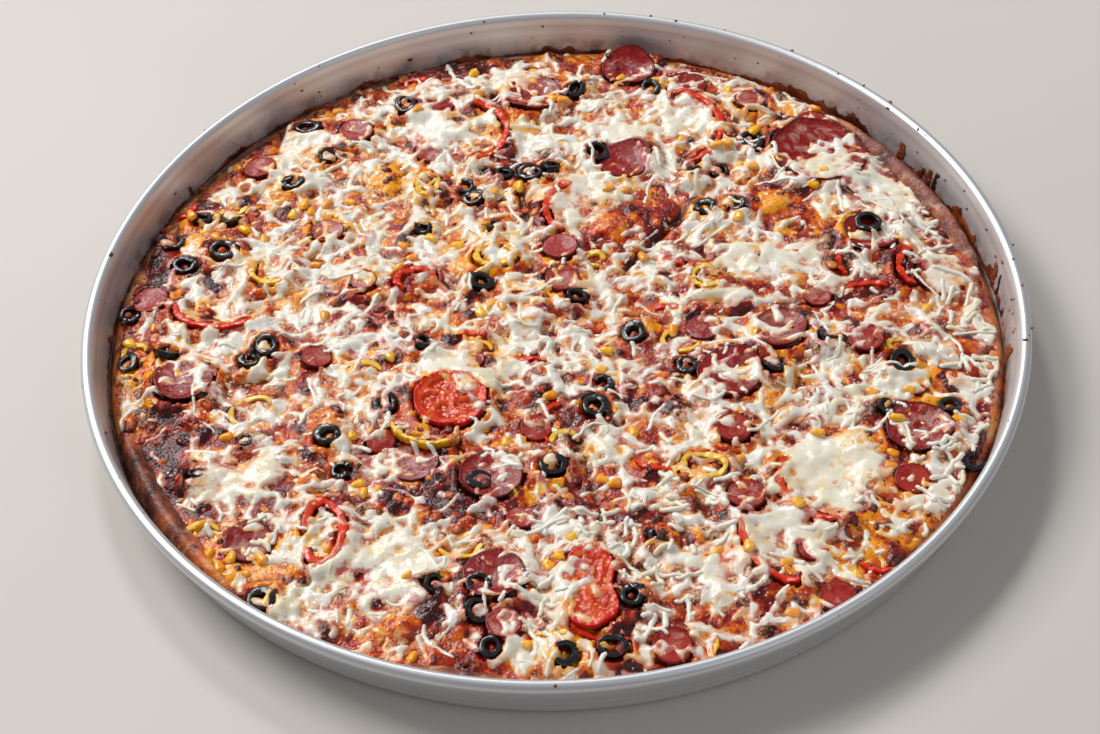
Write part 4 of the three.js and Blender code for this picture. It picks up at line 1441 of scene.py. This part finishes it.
def build_lace():
    """Sauce that boiled over and burnt onto the inside of the wall, in ragged patches."""
    columns, rows, middle_radius = 2200, 17, 287
    foot, tallest, food_top = 13.5, 19, 15.5
    angle = circle(columns)
    x, y = middle_radius * np.cos(angle), middle_radius * np.sin(angle)
    side = 0.25 + 0.75 * np.exp(-(((angle + 0.2) % (2 * np.pi) - 0.55) / 0.6) ** 2)
    clumps = smooth(fractal(x, y, 30, 81, 3), -0.2, 0.45) * side
    ragged = 0.3 + 0.8 * smooth(fractal(x, y, 8, 82, 2), -0.3, 0.6)
    tall = 15 * clumps * ragged - 0.6
    z = foot + np.linspace(0, 1, rows)[:, None] * tallest
    pits = fractal(x[None] + 2 * z, y[None] - 1.5 * z, 3.4, 83, 2)
    depth = np.clip(food_top + tall - z, -1.2, 1.0) * 0.6 + 0.75 * pits - 0.12
    radius = wall_radius(z) - np.clip(depth, -0.9, 1.1)
    corners = np.stack([radius * np.cos(angle), radius * np.sin(angle), z + 0 * angle], -1)
    keep = widened(np.maximum(depth, 0)) > 0
    faces = band_faces(rows, columns)
    faces = faces[keep.ravel()[faces].any(1)]
    used, faces = np.unique(faces, return_inverse=True)
    values = 0.5 + 0.5 * fractal(x[None] + z, y[None] + z, 9, 84, 2)
    corners, values = corners.reshape(-1, 3)[used], values.ravel()[used]
    return add_mesh("burnt_lace", corners, [faces.reshape(-1, 4)], {"chance": values})


def add_drip(heap, turn, run):
    """One run of burnt sauce down the wall."""
    stations, around, foot = 12, 8, 15
    z = np.linspace(foot, foot + 2 + run, stations)
    bearing = turn + np.cumsum(rng.normal(0, 0.0016, stations))
    radius = wall_radius(z) - 0.3
    route = np.column_stack([radius * np.cos(bearing), radius * np.sin(bearing), z])
    width = rng.uniform(2.4, 8) * np.linspace(1.2, 0.7, stations) * rng.uniform(0.6, 1.4, stations)
    phase = circle(around)
    section = np.stack(
        [np.outer(width / 2, np.cos(phase)), np.outer(np.full(stations, 0.5), np.sin(phase))], -1
    )
    corners, faces = swept(route, np.array([math.cos(turn), math.sin(turn), 0.0]), section, False)
    heap.add(corners, faces, np.full((len(corners), 1), rng.random()))


def add_crumb(heap):
    """A burnt crumb on the wall or on the bead."""
    turn, size = rng.uniform(0, 2 * np.pi), rng.uniform(0.5, 1.5)
    if rng.random() < 0.5:
        turn = math.radians(rng.uniform(-10, 80))
    z = rng.uniform(24, 38)
    radius = wall_radius(z)
    if rng.random() < 0.45:
        lean = rng.uniform(0.3, 2.4)
        radius = TRAY["rim"] - TRAY["bead"] + TRAY["bead"] * math.cos(lean)
        z = TRAY["height"] - TRAY["bead"] + TRAY["bead"] * math.sin(lean)
    ball, faces, _ = blob_shapes(np.zeros((1, 2)), np.array([size]), 0 * X, 0)
    place = [radius * math.cos(turn), radius * math.sin(turn), z]
    heap.add(ball * 0.9 + place, faces, np.full((len(ball), 1), rng.random()))


def build_drips():
    """The longest runs of burnt sauce, most of them at right-back, and crumbs."""
    near, far, crumbs = 10, 6, 60
    turns = np.concatenate([np.radians(rng.uniform(-16, 50, near)), rng.uniform(0, 2 * np.pi, far)])
    runs = np.concatenate([rng.uniform(4, 14, near), rng.uniform(2, 5, far)])
    heap = Heap()
    for turn, run in zip(turns, runs):
        add_drip(heap, turn, run)
    for _ in range(crumbs):
        add_crumb(heap)
    return heap.piece("burnt_drips", ("chance",))


lace = build_lace()
drips = build_drips()

# ---------- Materials ----------


def tone(red, green, blue):
    """An sRGB colour from 0 to 255 as the linear colour that nodes take."""
    parts = [value / 255 for value in (red, green, blue)]
    linear = [p / 12.92 if p <= 0.04045 else ((p + 0.055) / 1.055) ** 2.4 for p in parts]
    return (*linear, 1.0)


class Finish:
    """A node material, built up step by step. A colour is given as its sRGB values."""

    def __init__(self, name):
        self.material = bpy.data.materials.new(name)
        self.material.use_nodes = True
        self.tree = self.material.node_tree
        self.shader = self.tree.nodes["Principled BSDF"]
        self.place = self.node("ShaderNodeTexCoord").outputs["Object"]

    def node(self, kind, inputs=(), **settings):
        made = self.tree.nodes.new(kind)
        for key, value in settings.items():
            setattr(made, key, value)
        for key, value in dict(inputs).items():
            self.put(made.inputs[key], value)
        return made

    def put(self, socket, value):
        if isinstance(value, bpy.types.NodeSocket):
            self.tree.links.new(value, socket)
        else:
            socket.default_value = tone(*value) if isinstance(value, tuple) else value

    def noise(self, size, detail=3, roughness=0.55, distortion=0.0):
        """Noise with features about size millimetres across."""
        inputs = {
            "Vector": self.place,
            "Scale": 1 / (size * MM),
            "Detail": detail,
            "Roughness": roughness,
            "Distortion": distortion,
        }
        return self.node("ShaderNodeTexNoise", inputs).outputs["Fac"]

    def cells(self, size):
        """How far a point is from the nearest of many scattered ones, size millimetres apart."""
        inputs = {"Vector": self.place, "Scale": 1 / (size * MM)}
        return self.node("ShaderNodeTexVoronoi", inputs).outputs["Distance"]

    def value(self, name):
        """An attribute of the mesh."""
        return self.node("ShaderNodeAttribute", attribute_name=name).outputs["Fac"]

    def math(self, operation, a, b):
        made = self.node("ShaderNodeMath", operation=operation)
        self.put(made.inputs[0], a)
        self.put(made.inputs[1], b)
        return made.outputs[0]

    def times(self, a, b):
        return self.math("MULTIPLY", a, b)

    def plus(self, a, b):
        return self.math("ADD", a, b)

    def between(self, value, low, high, to_low=0.0, to_high=1.0):
        """From to_low to to_high while the value goes from low to high, with soft ends."""
        made = self.node(
            "ShaderNodeMapRange",
            {"Value": value, "From Min": low, "From Max": high, "To Min": to_low, "To Max": to_high},
            interpolation_type="SMOOTHSTEP",
        )
        return made.outputs["Result"]

    def uneven(self, size, low, high, detail=3):
        """Wanders between two values, in patches of a size."""
        return self.between(self.noise(size, detail), 0.35, 0.7, low, high)

    def spread(self, noise, reach):
        """Noise brought to the range from -reach to reach."""
        return self.between(noise, 0.3, 0.7, -reach, reach)

    def ramp(self, value, *stops):
        """A value as a colour, by stops of (position, colour)."""
        made = self.node("ShaderNodeValToRGB", {"Fac": value})
        steps = made.color_ramp.elements
        while len(steps) < len(stops):
            steps.new(0.5)
        for step, (position, colour) in zip(steps, stops):
            step.position = position
            step.color = tone(*colour)
        return made.outputs["Color"]

    def mix(self, share, a, b):
        made = self.node("ShaderNodeMix", data_type="RGBA")
        self.put(made.inputs[0], share)
        self.put(made.inputs[6], a)
        self.put(made.inputs[7], b)
        return made.outputs[2]

    def bump(self, height, distance, strength, after=None):
        inputs = {"Height": height, "Distance": distance * MM, "Strength": strength}
        if after is not None:
            inputs["Normal"] = after
        return self.node("ShaderNodeBump", inputs).outputs["Normal"]

    def finish(self, colour, roughness, normal=None, **sockets):
        """Fills the shader. A socket's name has underscores for its spaces."""
        self.put(self.shader.inputs["Base Color"], colour)
        self.put(self.shader.inputs["Roughness"], roughness)
        if normal is not None:
            self.put(self.shader.inputs["Normal"], normal)
        for name, value in sockets.items():
            self.put(self.shader.inputs[name.replace("_", " ")], value)
        return self.material

    def glazed(self, colour, amount, milk=(250, 190, 114)):
        """The thin film of melted cheese that lies over everything, whiter where it is thicker."""
        uneven = self.between(self.noise(5, 5, 0.65, 0.8), 0.32, 0.68, -0.45, 0.45)
        film = self.plus(self.value("glaze"), uneven)
        colour = self.mix(self.times(self.between(film, 0.42, 1.1), amount), colour, milk)
        thick = self.times(self.between(film, 0.8, 1.35), 0.9 * amount)
        return self.mix(thick, colour, (244, 218, 190))


def translucent(weight):
    """Sockets that let light a little way into cheese or corn."""
    return {"Subsurface_Weight": weight, "Subsurface_Scale": 0.002}


def baked_finish():
    """Sauce, meat and browned cheese by their kind, glazed, with crumbs and char; painted shade in the pits
    between crumbs and along the cuts, painted shade and pooled sauce in the hollows, and painted glints
    among white crumbs of cheese.
    """
    f = Finish("baked_sauce")
    kind = f.plus(f.value("kind"), f.between(f.noise(6, 4, 0.6), 0.25, 0.75, -0.4, 0.4))
    colour = f.ramp(
        f.between(kind, -1.3, 1.3),
        (0.08, (46, 3, 4)),
        (0.25, (102, 8, 9)),
        (0.38, (154, 24, 6)),
        (0.52, (190, 54, 2)),
        (0.66, (226, 98, 2)),
        (0.88, (250, 160, 16)),
    )
    crumbs = f.noise(1.7, 3, 0.65)
    plain = f.between(f.value("blister"), 0.2, 0.8, 1, 0.25)
    plain = f.times(plain, f.between(kind, 0.1, 0.8, 1, 0.3))
    # Painted shade: darker where the crumb relief of the bump is low, in the pits between the crumbs.
    colour = f.mix(f.times(f.between(crumbs, 0.56, 0.4, 0, 0.38), plain), colour, (92, 10, 6))
    # Darker in the hollows of the bed: partly painted shade, partly the darker sauce that pools there.
    colour = f.mix(f.between(f.value("relief"), -0.1, -1.2, 0, 0.75), colour, (58, 4, 4))
    colour = f.glazed(colour, 0.5)
    spots = f.between(f.noise(5, 3, distortion=0.6), 0.6, 0.7, 0, 0.55)
    colour = f.mix(f.times(spots, plain), colour, (104, 18, 14))
    # Tiny white dots: partly painted highlights (small glints), partly crumbs of cheese.
    cheese_crumbs_and_glints = f.times(f.between(f.cells(3.2), 0.26, 0.17), f.between(f.noise(12, 2), 0.5, 0.6))
    colour = f.mix(f.times(cheese_crumbs_and_glints, 0.8), colour, (244, 232, 216))
    burnt = f.between(f.plus(f.value("char"), f.spread(f.noise(3.6), 0.6)), 0.35, 0.8)
    colour = f.mix(f.times(burnt, 0.85), colour, (40, 16, 12))
    # Painted shade: darker along the cuts, in their crevices.
    colour = f.mix(f.times(f.value("groove"), 0.8), colour, (70, 22, 18))
    wet = f.uneven(7, 0.1, 0.26)
    normal = f.bump(f.times(crumbs, plain), 0.35, 0.8, f.bump(f.noise(3.4, 2), 1.0, 0.9))
    return f.finish(colour, wet, normal, Specular_IOR_Level=0.42)


def cheese_finish():
    """White cheese that shows the sauce where it is thin, with golden and oily places."""
    f = Finish("melted_cheese")
    fine = f.noise(4)
    body = f.ramp(f.noise(30), (0.35, (240, 234, 224)), (0.55, (239, 231, 214)), (0.7, (238, 223, 190)))
    warm = f.mix(f.times(f.value("pool"), 0.25), body, (244, 234, 196))
    kind = f.between(f.value("kind"), -0.6, 0.6)
    beneath = f.ramp(kind, (0.1, (190, 96, 84)), (0.5, (222, 128, 72)), (0.9, (244, 178, 76)))
    thick = f.between(f.plus(f.value("thick"), f.spread(fine, 0.2)), 0.26, 0.86)
    colour = f.mix(thick, beneath, warm)
    specks = f.times(f.between(f.cells(6.5), 0.1, 0.06), f.between(f.noise(25, 2), 0.46, 0.56))
    colour = f.mix(f.times(specks, 0.8), colour, (150, 62, 34))
    oily = f.between(f.noise(11, 4, 0.6, 0.5), 0.52, 0.68, 0, 0.55)
    colour = f.mix(f.times(oily, f.value("pool")), colour, (238, 212, 140))
    gold = f.between(f.plus(f.value("golden"), f.times(fine, 0.5)), 0.5, 0.9)
    colour = f.mix(f.times(gold, 0.6), colour, (228, 150, 66))
    return f.finish(colour, f.uneven(9, 0.1, 0.28), f.bump(f.noise(2), 0.35, 0.9), **translucent(0.15))


def shred_finish():
    """Cheese shreds, some creamier than others."""
    f = Finish("cheese_shreds")
    tones = ((0.0, (242, 237, 227)), (0.6, (241, 233, 215)), (1.0, (238, 225, 193)))
    colour = f.ramp(f.value("chance"), *tones)
    colour = f.mix(f.between(f.noise(16), 0.58, 0.78, 0, 0.35), colour, (236, 200, 150))
    return f.finish(colour, f.uneven(6, 0.22, 0.42, 2), f.bump(f.noise(2.4), 0.25, 0.7), **translucent(0.12))


def meat_finish(name, flesh, fat, skin, speck, film):
    """Flesh with specks of fat, a darker skin, and smears of cheese away from the edge."""
    f = Finish(name)
    grain = f.between(f.noise(speck, 4, 0.65), 0.48, 0.62)
    colour = f.mix(grain, f.ramp(f.noise(9, 2), (0.35, flesh), (0.65, fat)), fat)
    colour = f.mix(f.between(f.value("out"), 0.86, 0.98), colour, skin)
    colour = f.mix(f.between(f.value("side"), 0.2, 0.8), skin, colour)
    smear = f.plus(f.noise(8, 4, 0.6, 0.6), f.between(f.value("chance"), 0, 1, -0.08, 0.08))
    smear = f.times(f.between(smear, 0.48, 0.74), f.between(f.value("out"), 0.98, 0.7))
    colour = f.mix(f.times(smear, film), colour, (236, 206, 186))
    normal = f.bump(f.noise(1.6), 0.25, 0.7, f.bump(f.noise(5, 2), 0.5, 0.8))
    return f.finish(colour, f.uneven(5, 0.2, 0.36), normal, Specular_IOR_Level=0.3)


def salami_finish():
    return meat_finish("salami", (116, 5, 12), (150, 24, 22), (88, 5, 8), 2.6, 0.38)


def sausage_finish():
    return meat_finish("sausage", (134, 13, 16), (172, 54, 44), (100, 8, 10), 1.8, 0.36)


def tomato_finish():
    """Flesh with chambers of gel and seeds inside a red skin."""
    f = Finish("tomato")
    flesh = f.ramp(f.noise(5), (0.35, (204, 44, 10)), (0.6, (226, 88, 28)))
    gel = f.mix(f.between(f.cells(3.4), 0.24, 0.36), (236, 150, 74), (190, 40, 12))
    colour = f.mix(f.between(f.value("pulp"), 0.25, 0.7), flesh, gel)
    colour = f.mix(f.between(f.value("out"), 0.85, 0.92), colour, (208, 24, 8))
    colour = f.mix(f.between(f.value("side"), 0.2, 0.8), (204, 26, 8), colour)
    colour = f.glazed(colour, 0.22, (244, 196, 160))
    normal = f.bump(f.cells(3.4), 0.7, 0.7, f.bump(f.noise(2.5), 0.5, 0.7))
    return f.finish(colour, 0.2, normal, Specular_IOR_Level=0.35)


def pepper_finish(name, skin, flesh, scorched):
    """Skin outside and flesh inside, scorched in places."""
    f = Finish(name)
    outward = f.value("outward")
    colour = f.mix(f.between(outward, -0.2, 0.75), flesh, skin)
    colour = f.mix(f.between(outward, -0.6, -1.0, 0, 0.7), colour, skin)
    colour = f.mix(f.between(f.noise(10), 0.45, 0.75, 0, 0.4), colour, flesh)
    colour = f.mix(f.between(f.noise(5), 0.6, 0.72, 0, 0.5), colour, scorched)
    colour = f.glazed(colour, 0.22, (246, 216, 176))
    return f.finish(colour, 0.2, f.bump(f.noise(3), 0.4, 0.7), Specular_IOR_Level=0.35)


def red_pepper_finish():
    return pepper_finish("red_pepper", (212, 18, 6), (226, 64, 24), (130, 14, 8))


def yellow_pepper_finish():
    return pepper_finish("yellow_pepper", (242, 172, 18), (250, 206, 88), (206, 134, 20))


def olive_finish():
    """A black skin, and dark grey flesh on the cut faces and in the hole."""
    f = Finish("black_olive")
    cut = f.between(f.value("cut"), 0.5, 0.95)
    grain = f.noise(1.6)
    flesh = f.ramp(grain, (0.35, (17, 17, 20)), (0.65, (38, 38, 42)))
    colour = f.mix(cut, (9, 9, 12), flesh)
    colour = f.mix(f.times(f.value("inner"), 0.6), colour, (40, 38, 36))
    wet = f.plus(f.uneven(4, 0.1, 0.22, 2), f.times(cut, 0.06))
    return f.finish(colour, wet, f.bump(grain, 0.15, 0.6))


def corn_finish():
    """Yellow kernels, paler at the tip."""
    f = Finish("corn")
    body = f.ramp(f.value("chance"), (0.0, (255, 190, 12)), (0.6, (255, 166, 4)), (1.0, (246, 144, 4)))
    colour = f.mix(f.between(f.value("along"), -0.2, -0.95), body, (252, 204, 84))
    colour = f.mix(f.between(f.noise(4), 0.6, 0.75, 0, 0.2), colour, (216, 120, 26))
    colour = f.glazed(colour, 0.1, (250, 226, 180))
    return f.finish(colour, 0.16, f.bump(f.noise(3, 2), 0.4, 0.7), **translucent(0.1))


def bits_finish():
    """Crumbs from nearly black to orange, each its own colour."""
    f = Finish("baked_bits")
    colour = f.ramp(
        f.value("chance"),
        (0.0, (66, 16, 14)),
        (0.3, (116, 28, 22)),
        (0.55, (160, 50, 24)),
        (0.8, (200, 88, 34)),
        (1.0, (228, 140, 60)),
    )
    colour = f.mix(f.between(f.noise(3), 0.5, 0.7, 0, 0.6), colour, (112, 38, 26))
    colour = f.glazed(colour, 0.6)
    return f.finish(colour, 0.3, f.bump(f.noise(1.5), 0.5, 0.8))


def crust_finish():
    """Browned bare dough, and sauced dough elsewhere, with dark spots and a pale film."""
    f = Finish("baked_crust")
    broad, fine = f.noise(22, 4), f.noise(4)
    bare_tones = ((0.35, (88, 36, 26)), (0.5, (136, 66, 42)), (0.66, (198, 112, 58)))
    sauced_tones = ((0.35, (150, 50, 18)), (0.52, (212, 106, 30)), (0.68, (236, 160, 62)))
    colour = f.mix(f.value("bare"), f.ramp(broad, *sauced_tones), f.ramp(broad, *bare_tones))
    colour = f.mix(f.between(f.noise(9, 4, 0.6), 0.56, 0.68, 0, 0.75), colour, (56, 24, 22))
    colour = f.mix(f.between(f.noise(13, 5, 0.6, 0.6), 0.52, 0.7, 0, 0.45), colour, (228, 194, 164))
    burnt = f.between(f.plus(f.value("char"), f.spread(fine, 0.4)), 0.35, 0.8)
    colour = f.mix(f.times(burnt, 0.9), colour, (38, 22, 20))
    normal = f.bump(fine, 1.4, 0.9, f.bump(f.noise(1.5), 0.6, 0.8))
    return f.finish(colour, f.between(fine, 0.3, 0.7, 0.3, 0.55), normal)


def burnt_finish():
    """Burnt sauce, for the lace and the drips."""
    f = Finish("burnt_drips")
    tones = ((0.25, (62, 22, 12)), (0.5, (112, 46, 18)), (0.8, (158, 76, 30)))
    colour = f.ramp(f.value("chance"), *tones)
    colour = f.mix(f.between(f.noise(2.5), 0.5, 0.66, 0, 0.7), colour, (60, 24, 14))
    return f.finish(colour, 0.3, f.bump(f.noise(1.3), 0.6, 0.8))


def tray_finish():
    """Spun aluminium with fine lines round it, stained and speckled low on its inside."""
    f = Finish("spun_aluminium")
    parts = f.node("ShaderNodeSeparateXYZ", {"Vector": f.place})
    east, north, height = parts.outputs
    radius = f.math("POWER", f.plus(f.math("POWER", east, 2.0), f.math("POWER", north, 2.0)), 0.5)
    rings = f.node("ShaderNodeCombineXYZ", {"X": radius, "Y": height}).outputs[0]
    lines, bands = (
        f.node("ShaderNodeTexNoise", {"Vector": rings, "Scale": scale, "Detail": detail}).outputs["Fac"]
        for scale, detail in ((900.0, 3.0), (220.0, 2.0))
    )
    metal = f.ramp(bands, (0.35, (208, 208, 210)), (0.65, (228, 228, 230)))
    low = f.times(f.value("inner"), f.between(height, 0.030, 0.017))
    stain = f.times(low, f.between(f.noise(16, 4, 0.6), 0.42, 0.7))
    colour = f.mix(f.times(stain, 0.75), metal, (112, 78, 58))
    dirt = f.times(f.between(f.cells(7.5), 0.115, 0.06), f.between(f.noise(30, 2), 0.5, 0.6))
    colour = f.mix(dirt, colour, (66, 40, 28))
    metallic = f.math("SUBTRACT", 0.62, f.times(dirt, 0.6))
    rough = f.plus(f.between(lines, 0.3, 0.7, 0.34, 0.5), f.times(stain, 0.2))
    return f.finish(colour, rough, f.bump(lines, 0.05, 0.5), Metallic=metallic)


def dress(piece, finish, slot, *replaced):
    """Gives a piece its finish and body, and hides the nodes that it stands for. The slot is not used."""
    piece.data.materials.append(finish)
    if replaced:
        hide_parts(*replaced)
    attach(piece, "root")


burnt, shredded = burnt_finish(), shred_finish()
dress(tray, tray_finish(), "tray_metal", "pan")
dress(lace, burnt, "baked_dough")
dress(drips, burnt, "baked_dough")
dress(dough, crust_finish(), "baked_dough", "bread")
dress(bed, baked_finish(), "baked_cheese", "topping_bed")
dress(melt, cheese_finish(), "baked_cheese")
dress(short_shreds, shredded, "baked_cheese")
dress(long_shreds, shredded, "baked_cheese")
dress(bits, bits_finish(), "baked_cheese")
dress(corn, corn_finish(), "baked_cheese")

GLAZED = {"glaze": glaze}
# kind of topping: piece, finish, slot, the values of its shapes, and the maps that its finish reads
TOPPINGS = {
    "salami": ("salami_slices", salami_finish, "salami", ("out", "side", "chance"), {}),
    "sausage": ("sausage_slices", sausage_finish, "sausage", ("out", "side", "chance"), {}),
    "tomato": ("tomato_slices", tomato_finish, "tomato", ("out", "side", "pulp"), GLAZED),
    "red_pepper": ("red_pepper_strips", red_pepper_finish, "red_pepper", ("outward",), GLAZED),
    "yellow_pepper": ("yellow_pepper_strips", yellow_pepper_finish, "yellow_pepper", ("outward",), GLAZED),
    "olive": ("olive_rings", olive_finish, "black_olive", ("cut", "inner"), {}),
}
for kind, (name, finish, slot, keys, maps) in TOPPINGS.items():
    dress(heaps[kind].piece(name, keys, maps), finish(), slot, *nodes_of[kind])

# ---------- Floor and light ----------


def add_floor():
    """A plain pale floor."""
    side = 6000
    corners = [[-side, -side, 0], [side, -side, 0], [side, side, 0], [-side, side, 0]]
    floor = add_mesh("floor", np.array(corners), [np.array([[0, 1, 2, 3]])])
    f = Finish("floor")
    colour = f.ramp(f.noise(400, 2), (0.3, (206, 200, 192)), (0.7, (212, 206, 198)))
    floor.data.materials.append(f.finish(colour, 0.6))


def add_light(name, place, size, power, colour):
    """A soft light at a place, facing the middle of the food."""
    data = bpy.data.lights.new(name, "AREA")
    data.shape = "RECTANGLE"
    data.size = size[0] * MM
    data.size_y = size[1] * MM
    data.energy = power
    data.color = colour
    light = bpy.data.objects.new(name, data)
    light.location = Vector(place) * MM
    light.rotation_euler = (-Vector(place)).to_track_quat("-Z", "Y").to_euler()
    bpy.context.scene.collection.objects.link(light)


def add_world(strength, colour):
    """The even light from all round."""
    world = bpy.data.worlds.new("studio")
    world.use_nodes = True
    back = world.node_tree.nodes["Background"]
    back.inputs["Color"].default_value = (*colour, 1)
    back.inputs["Strength"].default_value = strength
    bpy.context.scene.world = world


add_floor()
add_light("window", (-3000, 2300, 3700), (2600, 2000), 209, (1.0, 0.99, 0.97))
add_light("skylight", (-900, 3700, 3500), (800, 700), 66, (0.97, 0.98, 1.0))
add_light("fill", (2600, -2200, 3400), (3000, 3000), 22, (0.97, 0.98, 1.0))
add_world(0.27, (0.92, 0.95, 1.0))
bpy.context.scene.view_settings.view_transform = "Standard"
